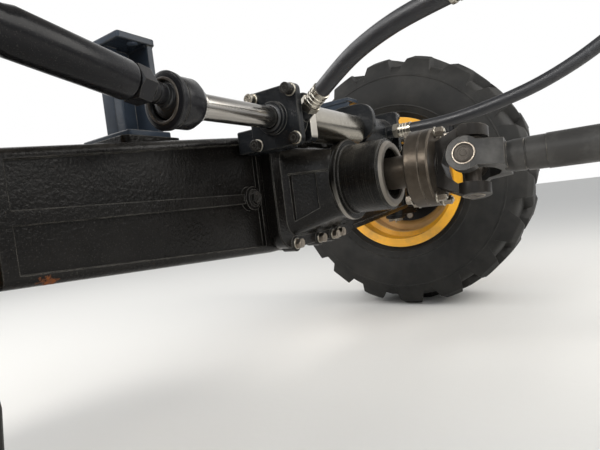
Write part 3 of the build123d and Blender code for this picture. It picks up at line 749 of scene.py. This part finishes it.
class AXLE_OT_carrier(bpy.types.Operator):
    """Cast the carrier: flange, tapered body with a pocket on each side, lip and journal"""

    bl_idname = "axle.carrier"
    bl_label = "Carrier"

    def execute(self, context):
        body, pockets = Form(), Form()
        body.skin([
            [(x, y, z + WHEEL_Z) for y, z in rounded(half, low, high, corner, 8)]
            for x, half, low, high, corner in CARRIER_ROWS
        ], Matrix())
        for sign in (1, -1):
            pockets.skin([
                [(x, sign * (y + out), z + WHEEL_Z) for x, y, z in (
                    (-0.14, 0.1268, -0.072 + out / 4), (-0.14, 0.1268, 0.021),
                    (-0.184, 0.0975, 0.021), (-0.184, 0.0975, -0.05 + out / 4),
                )] for out in (-0.009, 0.03)
            ], Matrix())
        body.cut(pockets)
        for sign in (1, -1):
            body.skin([
                [(x, sign * (y + out), z + WHEEL_Z) for out, z in RIDGE_SECTION]
                for x, y in RIDGE_RUN
            ], Matrix())
        body.slab(on_line(-0.0995), -Y_AXIS, Z_AXIS, half=0.165, low=-0.127, high=0.1,
                  corner=0.042, thick=0.0285, soft=0.002)
        body.turned(JOURNAL_PROFILE, seat(on_line(0), -X_AXIS), ring=True, count=96)
        for y, z in LOW_BOLTS:
            body.turned([(0.0, 0.0165), (0.029, 0.0165), (0.03, 0.0155)],
                        seat(on_line(-0.1, y, z), -X_AXIS))
        body.finish("carrier_casting", "carrier", "axle", "black_cast", "differential_carrier")
        return {"FINISHED"}


# Front flange of each gland: its hose, place, thickness, half width, corner, lowest
GLAND_FLANGES = {
    "left": ("near", 0.165, 0.022, 0.044, 0.012, -0.044),
    "right": ("far", 0.063, 0.014, 0.057, 0.034, -0.023),
}


class AXLE_OT_cylinder(bpy.types.Operator):
    """Make the steering cylinder: barrel, two glands, through rod and ball sockets"""

    bl_idname = "axle.cylinder"
    bl_label = "Cylinder"

    def execute(self, context):
        barrel, rod, sockets = Form(), Form(), Form()
        line = Vector((ROD_X, 0, ROD_Z))
        barrel.turned([(-0.066, 0.034), (-0.0655, 0.0354), (0.168, 0.0354), (0.169, 0.034)],
                      seat(line, Y_AXIS), count=72)
        barrel.finish("steering_barrel", "barrel", "axle", "bright_steel", "cylinder_barrel")
        collar = [
            (0.413, 0.0187), (0.4145, 0.0205), (0.416, 0.0225), (0.417, 0.0235), (0.4245, 0.0235),
            (0.4255, 0.0225), (0.4255, 0.0187), (0.43, 0.0187),
        ]
        rod.turned([(-y, r) for y, r in reversed(collar)] + collar, seat(line, Y_AXIS), count=64)
        rod.finish("steering_rod_bar", "rod", "steering_rod", "bright_steel", "cylinder_rod")
        for _, sign in SIDES:
            sockets.turned([
                (0.425, 0.018), (0.425, 0.0275), (0.4268, 0.0295), (0.436, 0.0345),
                (0.4605, 0.0345), (0.4605, 0.0335), (0.463, 0.0335), (0.463, 0.0355),
                (0.4655, 0.0355), (0.4655, 0.034), (0.468, 0.034), (0.468, 0.0378), (0.474, 0.0385),
                (0.4755, 0.0375), (0.4768, 0.034), (0.4768, 0.0262), (0.4745, 0.0245),
                (0.47, 0.0245), (0.464, 0.0285), (0.45, 0.0285), (0.43, 0.0188), (0.43, 0.018),
            ], seat(line, sign * Y_AXIS), ring=True, count=72)
        sockets.finish("ball_sockets", "tube", "steering_rod", "black_steel",
                       "rod_socket_left", "rod_socket_right")

        for side, sign in SIDES:
            hose, start, thick, half, corner, low = GLAND_FLANGES[side]
            gland = Form()
            axis = sign * Y_AXIS

            def plate(x, y, *sizes):
                """Plate across the rod: half width, lowest, highest, corner, thickness."""
                place = line + X_AXIS * x + Y_AXIS * sign * y
                gland.slab(place, -sign * X_AXIS, Z_AXIS, *sizes)

            plate(0, start, half, low, half, corner, thick)
            gland.turned([(start + thick - 0.002, 0.039), (0.224, 0.039)],
                         seat(line, axis), count=64)
            plate(0, 0.222, 0.052, -0.052, 0.052, 0.0115, 0.014)
            gland.turned([
                (0.234, 0.028), (0.244, 0.028), (0.245, 0.027), (0.245, 0.0194), (0.234, 0.0194),
            ], seat(line, axis), ring=True, count=56)
            plate(0.0485, 0.1675, 0.0482, -0.0485, -0.006, 0.003, 0.056)
            port, after = (on_line(*point) for point in HOSE_ROUTES[hose][:2])
            port_dir = (after - port).normalized()
            gland.turned([(-0.024, 0.016), (-0.001, 0.016), (0.0, 0.0152)],
                         seat(port - port_dir * (FERRULE + PORT_NUT), port_dir), count=36)
            gland.finish(f"gland_{side}", "gland", "axle", "black_cast", f"cylinder_gland_{side}")
        return {"FINISHED"}


class AXLE_OT_saddles(bpy.types.Operator):
    """Weld up the saddles: seat plate with two bolt holes, foot, inner wall, web and outer post"""

    bl_idname = "axle.saddles"
    bl_label = "Saddles"

    def execute(self, context):
        # Where the beam's pad carries the saddle's foot
        pad = WHEEL_Z + 0.0965
        for side, sign in SIDES:
            low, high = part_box(f"saddle_{side}")
            middle = sign * (abs(low.y) + abs(high.y)) / 2
            saddle, holes, beads = Form(), Form(), Form()
            saddle.slab(Vector((0, middle, -0.011)), X_AXIS, Y_AXIS, half=0.058,
                        low=-0.036, high=0.036, corner=0.005, thick=0.011)
            for x in (-0.046, 0.046):
                holes.turned([(-0.004, 0.009), (0.016, 0.009)],
                             seat(Vector((x, middle, -0.012)), Z_AXIS))
            saddle.cut(holes)
            saddle.slab(Vector((0, middle, pad)), X_AXIS, Y_AXIS, half=0.063,
                        low=-0.042, high=0.042, corner=0.005, thick=0.011)
            foot, top = pad + 0.0105, -0.0105
            inner, outer = middle - sign * 0.0265, middle + sign * 0.017
            web = middle - sign * 0.005
            for y, half, wide in (
                (inner, 0.055, 0.0055), (outer, 0.015, 0.009), (web, 0.0055, 0.018),
            ):
                saddle.slab(Vector((0, y, foot)), X_AXIS, Y_AXIS, half, -wide, wide,
                            corner=0.001, thick=top - foot, soft=0.0)
            saddle.finish(f"saddle_frame_{side}", "plate", "axle", "black_plate", f"saddle_{side}")
            for z in (foot, top):
                for y, half in (
                    (inner - sign * 0.0055, 0.052), (inner + sign * 0.0055, 0.052),
                    (outer + sign * 0.009, 0.013),
                ):
                    beads.bead(Vector((-half, y, z)), Vector((half, y, z)), 0.004)
            beads.finish(f"saddle_welds_{side}", "plate", "axle", "black_plate")
        return {"FINISHED"}


class AXLE_OT_carrier_fasteners(bpy.types.Operator):
    """Bolt the carrier and the front cover to the beam, and fit its plugs"""

    bl_idname = "axle.carrier_fasteners"
    bl_label = "Carrier fasteners"

    def execute(self, context):
        across = context.scene.axle_fittings.carrier_bolt
        flange_x = -0.128
        heads, washers, painted = Form(), Form(), Form()
        places = [on_line(flange_x - 0.002, y, z) for y, z in LOW_BOLTS]
        bolt_row(heads, washers, places, -X_AXIS, across)
        places = [on_line(flange_x, y, z) for y, z in HIGH_BOLTS]
        bolt_row(painted, painted, places, -X_AXIS, across)
        finish_all(
            "axle", "black_cast", (heads, "carrier_bolts", "worn_bolt"),
            (washers, "carrier_washers", "zinc"), (painted, "painted_carrier_bolts", "black_bolt"),
        )

        plug = Form()
        level = seat(on_line(-0.104, 0.202, -0.017), -X_AXIS, 0.4)
        plug.turned([(-SUNK, 0.0175), (0.0022, 0.0175), (0.003, 0.0165), (0.003, 0.014)], level)
        plug.hexagon(level, 0.022, 0.0025, 0.011, 0.0025)
        drain = seat(on_line(-0.01, 0, -0.13), -Z_AXIS)
        plug.turned([(-SUNK, 0.019), (0.003, 0.019), (0.004, 0.0175)], drain)
        plug.hexagon(drain, 0.024, 0.0035, 0.013, 0.002)
        plug.finish("oil_plugs", "black_bolt", "axle", "black_cast")

        heads, washers, bosses = Form(), Form(), Form()
        radius, count, start = 0.106, 10, 0.3
        bases, tops = (circle(on_line(x), X_AXIS, radius, count, start) for x in (0.08, 0.108))
        for place in bases:
            bosses.turned([(-SUNK, 0.0155), (0.026, 0.0145), (0.028, 0.013)], seat(place, X_AXIS))
        bolt_row(heads, washers, tops, X_AXIS, across)
        finish_all(
            "axle", "black_cast", (bosses, "cover_bosses", "casting"),
            (heads, "cover_bolts", "worn_bolt"), (washers, "cover_washers", "zinc"),
        )
        return {"FINISHED"}


class AXLE_OT_cylinder_fittings(bpy.types.Operator):
    """Fit the gland screws with their washers, the rod wipers and the socket collars"""

    bl_idname = "axle.cylinder_fittings"
    bl_label = "Cylinder fittings"

    def execute(self, context):
        across = context.scene.axle_fittings.gland_bolt
        reach, plate_y, boss_y, mouth_y = 0.0405, 0.236, 0.245, 0.4768
        dark, bright, washers, wipers, collars = (Form() for _ in range(5))
        for _, sign in SIDES:
            axis = sign * Y_AXIS
            for dx, dz, form, height in (
                (-reach, reach, dark, 0.016), (reach, reach, bright, 0.012),
                (-reach, -reach, dark, 0.006), (reach, -reach, dark, 0.011),
            ):
                place = Vector((ROD_X + dx, sign * plate_y, ROD_Z + dz))
                washers.turned([(-SUNK, 0.0114), (0.0018, 0.0114), (0.0024, 0.0106)],
                               seat(place, axis))
                cap_screws(form, [place + axis * 0.0022], axis, across * 0.92, height)
            wipers.turned([
                (-SUNK, 0.0235), (0.003, 0.0235), (0.0045, 0.0222), (0.0055, 0.0205),
                (0.0055, 0.0196), (-SUNK, 0.0196),
            ], seat(Vector((ROD_X, sign * boss_y, ROD_Z)), axis), ring=True, count=48)
            collars.turned([
                (-0.001, 0.0302), (0.0008, 0.0302), (0.0016, 0.0294), (0.0016, 0.027),
                (-0.001, 0.0266),
            ], seat(Vector((ROD_X, sign * mouth_y, ROD_Z)), axis), ring=True, count=56)
        finish_all(
            "axle", "black_cast", (dark, "gland_screws_dark", "black_bolt"),
            (bright, "gland_screws_bright", "zinc"), (washers, "gland_washers", "zinc"),
        )
        wipers.finish("rod_wipers", "seal", "axle", "seal_rubber")
        collars.finish("socket_collars", "cross", "steering_rod", "bright_steel")
        return {"FINISHED"}


class AXLE_OT_tie_rods(bpy.types.Operator):
    """Make the tie rods: ball neck with its boot, lock nut, tube and eye"""

    bl_idname = "axle.tie_rods"
    bl_label = "Tie rods"

    def execute(self, context):
        for side, sign in SIDES:
            eye = on_line(EYE_X, sign * EYE_Y, EYE_HEIGHT)
            ball = Vector(JOINTS[f"tie_rod_{side}"]["pos_m"])
            run = eye - ball
            end = run.length
            stand = seat(ball, run.normalized())
            rod, boot = Form(), Form()
            rod.turned([
                (-0.0165, 0.004), (-0.0155, 0.0085), (-0.011, 0.0139), (-0.004, 0.0173),
                (0.003, 0.0175), (0.009, 0.0153), (0.0135, 0.0125), (0.051, 0.0125),
                (0.0522, 0.0145), (0.0562, 0.0145), (0.0574, 0.0125), (0.0602, 0.0125),
                (0.0614, 0.015), (0.0664, 0.015), (0.0676, 0.0135), (0.098, 0.0135),
                (0.098, 0.0185), (0.1005, 0.0225), (0.104, 0.0235), (end - 0.044, 0.0235),
                (end - 0.034, 0.021), (end - 0.02, 0.021),
            ], stand, count=64)
            rod.hexagon(stand, 0.042, 0.0735, 0.0955)
            half = 0.019
            rod.turned([
                (-half, 0.0215), (-half, 0.0285), (0.0025 - half, 0.031),
                (half - 0.0025, 0.031), (half, 0.0285), (half, 0.0215),
            ], seat(eye, Z_AXIS), count=64)
            boot.turned([
                (0.0285, 0.0275), (0.031, 0.0252), (0.0333, 0.0222), (0.0338, 0.0212),
                (0.0352, 0.0205), (0.036, 0.0185), (0.0374, 0.018), (0.038, 0.0162),
                (0.0392, 0.0158), (0.0402, 0.0148), (0.044, 0.0142), (0.0445, 0.0128),
                (0.042, 0.0122), (0.0285, 0.0122),
            ], stand, ring=True, count=56)
            rod.finish(f"tie_rod_form_{side}", "tube", f"tie_{side}", "black_steel",
                       f"tie_rod_{side}")
            boot.finish(f"ball_boot_{side}", "seal", f"tie_{side}", "seal_rubber")
        return {"FINISHED"}


class AXLE_OT_steering_fittings(bpy.types.Operator):
    """Fit the kingpin screws, the grease nipples and the nuts of the steering arms"""

    bl_idname = "axle.steering_fittings"
    bl_label = "Steering fittings"

    def execute(self, context):
        across = context.scene.axle_fittings.small_bolt
        cap_ring, nut_drop, cover_top = 0.0215, 0.0205, 0.0036
        for side, sign in SIDES:
            heads, washers, nipples, nuts = Form(), Form(), Form(), Form()
            for place, axis in (("upper", Z_AXIS), ("lower", -Z_AXIS)):
                low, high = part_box(f"kingpin_{place}_{side}")
                top = Vector((0, sign * KINGPIN_Y, high.z if place == "upper" else low.z))
                bolt_row(heads, washers, circle(top, axis, cap_ring, 4, pi / 4), axis, across)
                nipple(nipples, top, axis)
            low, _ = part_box(f"ball_stud_{side}")
            stand = seat(Vector((EYE_X, sign * EYE_Y, low.z - nut_drop)), -Z_AXIS, 0.35)
            nuts.turned([(-SUNK, 0.0185), (0.0022, 0.0185), (0.003, 0.0175)], stand)
            nuts.hexagon(stand, 0.03, 0.0025, 0.018, 0.0005)
            nuts.turned([(0.017, 0.0115), (0.0235, 0.0115), (0.024, 0.009)], stand, count=6)
            nuts.turned([(0.02, 0.0082), (0.0265, 0.0082), (0.028, 0.0066)], stand)
            finish_all(
                f"knuckle_{side}", "black_cast", (heads, f"kingpin_bolts_{side}", "worn_bolt"),
                (washers, f"kingpin_washers_{side}", "zinc"),
            )
            nipples.finish(f"kingpin_nipples_{side}", "zinc", f"knuckle_{side}", "zinc_fitting")
            nuts.finish(f"arm_nut_{side}", "worn_bolt", f"knuckle_{side}", "black_cast")

            cover, eye_nipple = Form(), Form()
            _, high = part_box(f"tie_rod_{side}")
            top = Vector((EYE_X, sign * EYE_Y, high.z))
            cover.turned([
                (-SUNK, 0.0235), (0.0012, 0.0235), (0.002, 0.0225), (0.002, 0.016),
                (0.0032, 0.0145), (cover_top, 0.011),
            ], seat(top, Z_AXIS), count=48)
            nipple(eye_nipple, top + Z_AXIS * cover_top, Z_AXIS)
            cover.finish(f"eye_cover_{side}", "forging", f"tie_{side}", "black_steel")
            eye_nipple.finish(f"eye_nipple_{side}", "zinc", f"tie_{side}", "zinc_fitting")
        return {"FINISHED"}


class AXLE_OT_propeller_fittings(bpy.types.Operator):
    """Fit the flange bolts, the joint caps with their snap rings, and the sleeve's cap"""

    bl_idname = "axle.propeller_fittings"
    bl_label = "Propeller fittings"

    def execute(self, context):
        across = context.scene.axle_fittings.pair_bolt
        pair_front, pair_rear, far_flange = -0.3575, -0.404, -1.251
        ear_end, sleeve_end = 0.064, -0.93
        flanges = Form()
        flanges.turned([
            (0.286, 0.03), (0.286, 0.033), (0.3555, 0.033), (-pair_front, 0.035),
            (-pair_front, 0.0715), (0.361, 0.075), (0.3845, 0.075), (0.3858, 0.0738),
            (0.3862, 0.0738), (0.3875, 0.075), (0.401, 0.075), (-pair_rear, 0.072),
            (-pair_rear, 0.03),
        ], seat(on_line(0), -X_AXIS), count=96)
        flanges.finish("flange_pair", "flange", "pinion", "dark_forging", "companion_flange")

        def pattern(x):
            return [
                on_line(x) + EAR_ACROSS * aside + EAR_UPRIGHT * up
                for aside in (0.02, -0.02) for up in (0.0625, -0.0625)
            ]

        nuts, washers, heads, head_washers = Form(), Form(), Form(), Form()
        bolt_row(nuts, washers, pattern(pair_rear), -X_AXIS, across, 0.0045)
        bolt_row(nuts, washers, pattern(pair_front), X_AXIS, across)
        bolt_row(heads, head_washers, pattern(far_flange), X_AXIS, across)
        finish_all(
            "pinion", "dark_forging", (nuts, "pinion_flange_nuts", "worn_bolt"),
            (washers, "pinion_flange_washers", "zinc"),
        )
        finish_all(
            "rear_flange", "dark_forging", (heads, "rear_flange_bolts", "worn_bolt"),
            (head_washers, "rear_flange_washers", "zinc"),
        )

        for name, x in (("front", FRONT_JOINT_X), ("rear", REAR_JOINT_X)):
            caps, rings = Form(), Form()
            for direction in (EAR_ACROSS, -EAR_ACROSS, EAR_UPRIGHT, -EAR_UPRIGHT):
                stand = seat(on_line(x) + direction * ear_end, direction)
                caps.turned([
                    (-SUNK, 0.0165), (0.0006, 0.0165), (0.001, 0.0158), (0.001, 0.0112),
                    (0.0002, 0.0104), (0.0002, 0.0058), (0.0012, 0.005), (0.0012, 0.0012),
                ], stand, count=40)
                rings.turned([
                    (-SUNK, 0.0197), (0.0008, 0.0199), (0.0014, 0.0194), (0.0014, 0.0176),
                    (-SUNK, 0.0172),
                ], stand, ring=True, count=40)
            finish_all(
                f"{name}_cross", "cross_steel", (caps, f"joint_caps_{name}", "cross"),
                (rings, f"snap_rings_{name}", "worn_bolt"),
            )

        cap = Form()
        cap.turned([
            (-0.02, 0.0372), (-0.003, 0.0378), (0.0, 0.0368), (0.003, 0.034),
            (0.004, 0.026), (0.004, 0.0208), (-0.001, 0.0208), (-0.02, 0.034),
        ], seat(on_line(sleeve_end), X_AXIS), ring=True, count=48)
        cap.finish("sleeve_cap", "cross", "sleeve", "dark_forging")
        return {"FINISHED"}


class AXLE_OT_wheel_fittings(bpy.types.Operator):
    """Fit the wheel nuts, stud heads, hub cover screws and tyre valves"""

    bl_idname = "axle.wheel_fittings"
    bl_label = "Wheel fittings"

    def execute(self, context):
        sizes = context.scene.axle_fittings
        stud_circle, cover_circle = 0.1375, 0.077
        disc_y, flange_y, cover_y, cap_y = 0.966, 0.94, 1.038, 1.052
        for side, sign in SIDES:
            axis = sign * Y_AXIS

            def centre(y):
                return on_line(0, sign * y)

            nuts, washers, backs, cover = Form(), Form(), Form(), Form()
            studs = circle(centre(disc_y), axis, stud_circle, 8)
            bolt_row(nuts, washers, studs, axis, sizes.wheel_nut, 0.009)
            for place in circle(centre(flange_y), -axis, stud_circle, 8):
                backs.turned([(-SUNK, 0.0135), (0.0055, 0.0135), (0.0075, 0.011), (0.0075, 0.004)],
                             seat(place, -axis))
            cap_screws(cover, circle(centre(cover_y), axis, cover_circle, 10), axis, 0.016, 0.01)
            plug = seat(centre(cap_y) + X_AXIS * 0.034, axis)
            cover.turned([(-SUNK, 0.013), (0.002, 0.013), (0.003, 0.012)], plug)
            cover.hexagon(plug, 0.017, 0.0025, 0.009, 0.002)
            cover.turned([
                (-SUNK, 0.02), (0.0025, 0.02), (0.0035, 0.019), (0.0035, 0.013), (0.002, 0.012),
            ], seat(centre(cap_y) - X_AXIS * 0.012, axis), count=40)
            finish_all(
                f"wheel_{side}", "black_cast", (nuts, f"wheel_nuts_{side}", "worn_bolt"),
                (washers, f"wheel_washers_{side}", "zinc"),
                (backs, f"stud_heads_{side}", "worn_bolt"),
                (cover, f"hub_cover_screws_{side}", "black_bolt"),
            )

            valve = Form()
            out = (axis * 0.82 + X_AXIS * 0.12).normalized()
            foot = on_line(0.196, sign * 0.956)
            valve.turned([
                (-0.004, 0.0075), (0.004, 0.0072), (0.008, 0.0045), (0.022, 0.0042), (0.024, 0.003),
                (0.028, 0.003), (0.029, 0.0044), (0.038, 0.0044), (0.039, 0.0036),
            ], seat(foot, out), count=20)
            valve.finish(f"tyre_valve_{side}", "seal", f"wheel_{side}", "seal_rubber")
        return {"FINISHED"}


# Half section of the tyre from its bead to its crown: distance from its middle, radius
TYRE_SECTION = (
    (0.1105, 0.2293), (0.1105, 0.2565), (0.1155, 0.2625), (0.1235, 0.267), (0.132, 0.2755),
    (0.1405, 0.289), (0.147, 0.304), (0.151, 0.32), (0.1532, 0.337), (0.1538, 0.354),
    (0.153, 0.375), (0.1508, 0.397), (0.1475, 0.414), (0.143, 0.428), (0.134, 0.4385),
    (0.118, 0.446), (0.09, 0.4495), (0.045, 0.451), (0.0, 0.4515),
)
# Raised lines on each sidewall: radius, distance from the middle, half width, height
SIDEWALL_LINES = (
    (0.405, 0.1492, 0.0032, 0.002), (0.296, 0.1432, 0.0028, 0.002), (0.272, 0.1285, 0.0022, 0.0016),
)
# Outline of a lug's foot: distance round the tyre, distance from its middle
LUG_OUTLINE = (
    (-0.103, -0.037), (-0.014, -0.037), (0.052, 0.048), (0.096, 0.183), (-0.045, 0.183),
    (-0.047, 0.084),
)
LUG_ROOT, LUG_TOP, LUG_COUNT = 0.412, 0.4828, 18
# Slopes that trim a lug: a point as distance and radius, and the way out
LUG_TRIMS = (
    ((0.1462, 0.42), (1, 0)), ((0.146, 0.436), (0.93, 0.37)), ((0.134, 0.467), (0.41, 0.91)),
)
# Radius at which a lug's length is measured, and the turn of each tyre's tread
LUG_PITCH_RADIUS = 0.45
TREAD_TURN = {"left": radians(5.4), "right": 0.0}


def inset(outline, amount):
    """Outline moved inwards by an amount; it runs anticlockwise."""
    moved = []
    for k, corner in enumerate(outline):
        corner = Vector(corner)
        before = (corner - Vector(outline[k - 1])).normalized()
        after = (Vector(outline[(k + 1) % len(outline)]) - corner).normalized()
        inwards = [Vector((-run.y, run.x)) for run in (before, after)]
        middle = (inwards[0] + inwards[1]).normalized()
        moved.append(corner + middle * (amount / middle.dot(inwards[0])))
    return moved


def lug_mesh():
    """One lug lying flat: distance round the tyre, distance from its middle, radius."""
    lug = bmesh.new()
    slope = 0.36
    rows = [
        [lug.verts.new((*point, high)) for point in inset(LUG_OUTLINE, (high - LUG_ROOT) * slope)]
        for high in (LUG_ROOT, LUG_TOP)
    ]
    for k in range(len(LUG_OUTLINE)):
        lug.faces.new((rows[0][k - 1], rows[0][k], rows[1][k], rows[1][k - 1]))
    lug.faces.new(reversed(rows[0]))
    lug.faces.new(rows[1])
    for (apart, radius), (across, out) in LUG_TRIMS:
        parts = lug.verts[:] + lug.edges[:] + lug.faces[:]
        cut = bmesh.ops.bisect_plane(
            lug, geom=parts, plane_co=(0, apart, radius), plane_no=(0, across, out),
            clear_outer=True,
        )["geom_cut"]
        rim = [part for part in cut if isinstance(part, bmesh.types.BMEdge)]
        bmesh.ops.holes_fill(lug, edges=rim)
    long = [edge for edge in lug.edges
            if edge.calc_length() > 0.03 and min(v.co.y for v in edge.verts) < 0.1]
    bmesh.ops.subdivide_edges(lug, edges=long, cuts=2)
    upper = [edge for edge in lug.edges if min(v.co.z for v in edge.verts) > LUG_ROOT + 0.01
             and edge.is_manifold and edge.calc_face_angle(0) > 0.4]
    bmesh.ops.bevel(lug, geom=upper, offset=0.0035, segments=2, affect="EDGES", profile=0.6)
    bmesh.ops.recalc_face_normals(lug, faces=lug.faces)
    return lug


class AXLE_OT_tyres(bpy.types.Operator):
    """Mould the tyres: round shouldered section, raised sidewall lines and slanting lugs"""

    bl_idname = "axle.tyres"
    bl_label = "Tyres"

    def execute(self, context):
        section = [*TYRE_SECTION, *((-s, r) for s, r in reversed(TYRE_SECTION[:-1]))]
        lug = lug_mesh()
        pitch = tau / LUG_COUNT
        for side, sign in SIDES:
            tyre = Form()
            middle = on_line(0, sign * WHEEL_Y)
            tyre.turned(section, seat(middle, Y_AXIS), ring=True, count=180)
            for facing in (1, -1):
                for radius, apart, half, height in SIDEWALL_LINES:
                    stand = seat(middle + facing * apart * Y_AXIS, facing * Y_AXIS)
                    tyre.turned([
                        (-0.006, radius - half), (height - 0.0008, radius - half * 0.8),
                        (height, radius - half * 0.4), (height, radius + half * 0.4),
                        (height - 0.0008, radius + half * 0.8), (-0.006, radius + half),
                    ], stand, ring=True, count=180)
                for number in range(LUG_COUNT):
                    centre = (number + (0.5 if facing > 0 else 0.0)) * pitch + TREAD_TURN[side]
                    placed = {}
                    for vert in lug.verts:
                        turn = centre + vert.co.x / LUG_PITCH_RADIUS
                        placed[vert] = tyre.mesh.verts.new(middle + Vector((
                            vert.co.z * sin(turn), sign * facing * vert.co.y, vert.co.z * cos(turn)
                        )))
                    for face in lug.faces:
                        tyre.mesh.faces.new([placed[vert] for vert in face.verts])
            tyre.finish(f"lugged_tyre_{side}", "tyre", f"wheel_{side}", "tyre_rubber",
                        f"tyre_{side}")
        lug.free()
        return {"FINISHED"}


def wall(name, corners, material):
    """Flat four-cornered sheet that isn't part of the object."""
    mesh = bpy.data.meshes.new(name)
    mesh.from_pydata(corners, [], [range(len(corners))])
    mesh.materials.append(material)
    sheet = bpy.data.objects.new(name, mesh)
    bpy.context.scene.collection.objects.link(sheet)


def lamp(name, place, target, size, power, colour):
    """Square soft lamp that shines at a target."""
    light = bpy.data.lights.new(name, "AREA")
    light.shape = "SQUARE"
    light.size = size
    light.energy = power
    light.color = colour
    holder = bpy.data.objects.new(name, light)
    holder.location = place
    holder.rotation_euler = (Vector(target) - Vector(place)).to_track_quat("-Z", "Y").to_euler()
    bpy.context.scene.collection.objects.link(holder)


def studio_world():
    """White as seen and as mirrored near the floor, dark as mirrored overhead, soft as light."""
    world = bpy.data.worlds.new("studio")
    world.use_nodes = True
    world.node_tree.nodes.clear()
    node = partial(add_node, world.node_tree)
    most = partial(node, "Math", operation="MAXIMUM")
    rays = node("LightPath").outputs
    seen = most({0: rays["Is Camera Ray"], 1: rays["Is Glossy Ray"]}).outputs[0]
    clear = most({0: seen, 1: rays["Is Transmission Ray"]}).outputs[0]
    height = node("SeparateXYZ", {0: node("TexCoord").outputs["Generated"]}).outputs[2]
    fading = node("MapRange", {
        "Value": height, "From Min": 0.52, "From Max": 0.82, "To Min": 1.0, "To Max": 0.12
    }).outputs["Result"]
    shown = most({0: rays["Is Camera Ray"], 1: fading}).outputs[0]
    light = node("Background", {"Color": (0.93, 0.96, 1, 1), "Strength": 0.6}).outputs[0]
    white = node("Background", {"Color": (1, 1, 1, 1), "Strength": shown}).outputs[0]
    mix = node("MixShader", {0: clear, 1: light, 2: white}).outputs[0]
    node("OutputWorld", {"Surface": mix})
    bpy.context.scene.world = world


class AXLE_OT_stage(bpy.types.Operator):
    """Set the floor, the lamps and the camera"""

    bl_idname = "axle.stage"
    bl_label = "Stage"

    def execute(self, context):
        low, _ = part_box("tyre_left")
        reach = 30.0
        floor = Finish("pale floor", (0.82, 0.8, 0.76), 0.8)
        floor.bump(floor.noise(60.0), 0.0004)
        corners = ((-reach, -reach), (reach, -reach), (reach, reach), (-reach, reach))
        wall("floor", [(x, y, low.z) for x, y in corners], floor.material)
        studio_world()
        lamp("rear window", (-2.6, -1.2, 1.5), (-0.3, 0, -0.2), 2.2, 60, (1, 0.97, 0.92))
        lamp("left window", (-1.6, 2.8, 1.6), (-0.2, 0.3, -0.2), 2.4, 45, (0.9, 0.95, 1))
        lamp("front window", (2.4, 0.6, 1.8), (0, 0, -0.2), 2.4, 40, (1, 1, 1))
        lamp("low window", (-2.3, 0.75, 0.05), (-0.1, 0.25, -0.22), 0.5, 7, (1, 0.98, 0.94))
        lamp("glint", (0.3, 1.7, 0.9), (-0.25, 0, WHEEL_Z), 0.35, 22, (1, 0.98, 0.95))
        view = context.scene.axle_camera
        forward = Vector((
            sin(view.yaw) * cos(view.pitch), -cos(view.yaw) * cos(view.pitch), sin(view.pitch)
        ))
        across = forward.cross(Z_AXIS).normalized()
        upward = across.cross(forward)
        right = across * cos(view.roll) - upward * sin(view.roll)
        upward = across * sin(view.roll) + upward * cos(view.roll)
        camera = bpy.data.objects.new("camera", bpy.data.cameras.new("camera"))
        camera.data.lens = view.lens
        camera.data.clip_start = 0.02
        turned = Matrix((right, upward, -forward)).transposed().to_4x4()
        camera.matrix_world = Matrix.Translation(Vector(view.place) + on_line(0)) @ turned
        context.scene.collection.objects.link(camera)
        context.scene.camera = camera
        context.scene.view_settings.view_transform = "Standard"
        return {"FINISHED"}


class AXLE_PT_panel(bpy.types.Panel):
    """Lists what builds the axle"""

    bl_label = "Axle"
    bl_idname = "AXLE_PT_panel"
    bl_space_type = "VIEW_3D"
    bl_region_type = "UI"
    bl_category = "Axle"

    def draw(self, context):
        for operator in OPERATORS:
            self.layout.operator(operator.bl_idname)


SETTINGS = (
    ("axle_colours", FinishColours),
    ("axle_fittings", FittingSizes),
    ("axle_camera", CameraView),
)
OPERATORS = (
    AXLE_OT_finishes,
    AXLE_OT_hoses,
    AXLE_OT_carrier,
    AXLE_OT_cylinder,
    AXLE_OT_saddles,
    AXLE_OT_carrier_fasteners,
    AXLE_OT_cylinder_fittings,
    AXLE_OT_tie_rods,
    AXLE_OT_steering_fittings,
    AXLE_OT_propeller_fittings,
    AXLE_OT_wheel_fittings,
    AXLE_OT_tyres,
    AXLE_OT_stage,
)


def register():
    """Register the settings, the operators and the panel."""
    for name, group in SETTINGS:
        bpy.utils.register_class(group)
        setattr(bpy.types.Scene, name, PointerProperty(type=group))
    for operator in OPERATORS:
        bpy.utils.register_class(operator)
    bpy.utils.register_class(AXLE_PT_panel)


def unregister():
    """Take them all out again."""
    bpy.utils.unregister_class(AXLE_PT_panel)
    for operator in reversed(OPERATORS):
        bpy.utils.unregister_class(operator)
    for name, group in reversed(SETTINGS):
        delattr(bpy.types.Scene, name)
        bpy.utils.unregister_class(group)


def main():
    """Build the whole scene."""
    register()
    for operator in OPERATORS:
        group, name = operator.bl_idname.split(".")
        getattr(getattr(bpy.ops, group), name)()


if __name__ == "__main__":
    main()
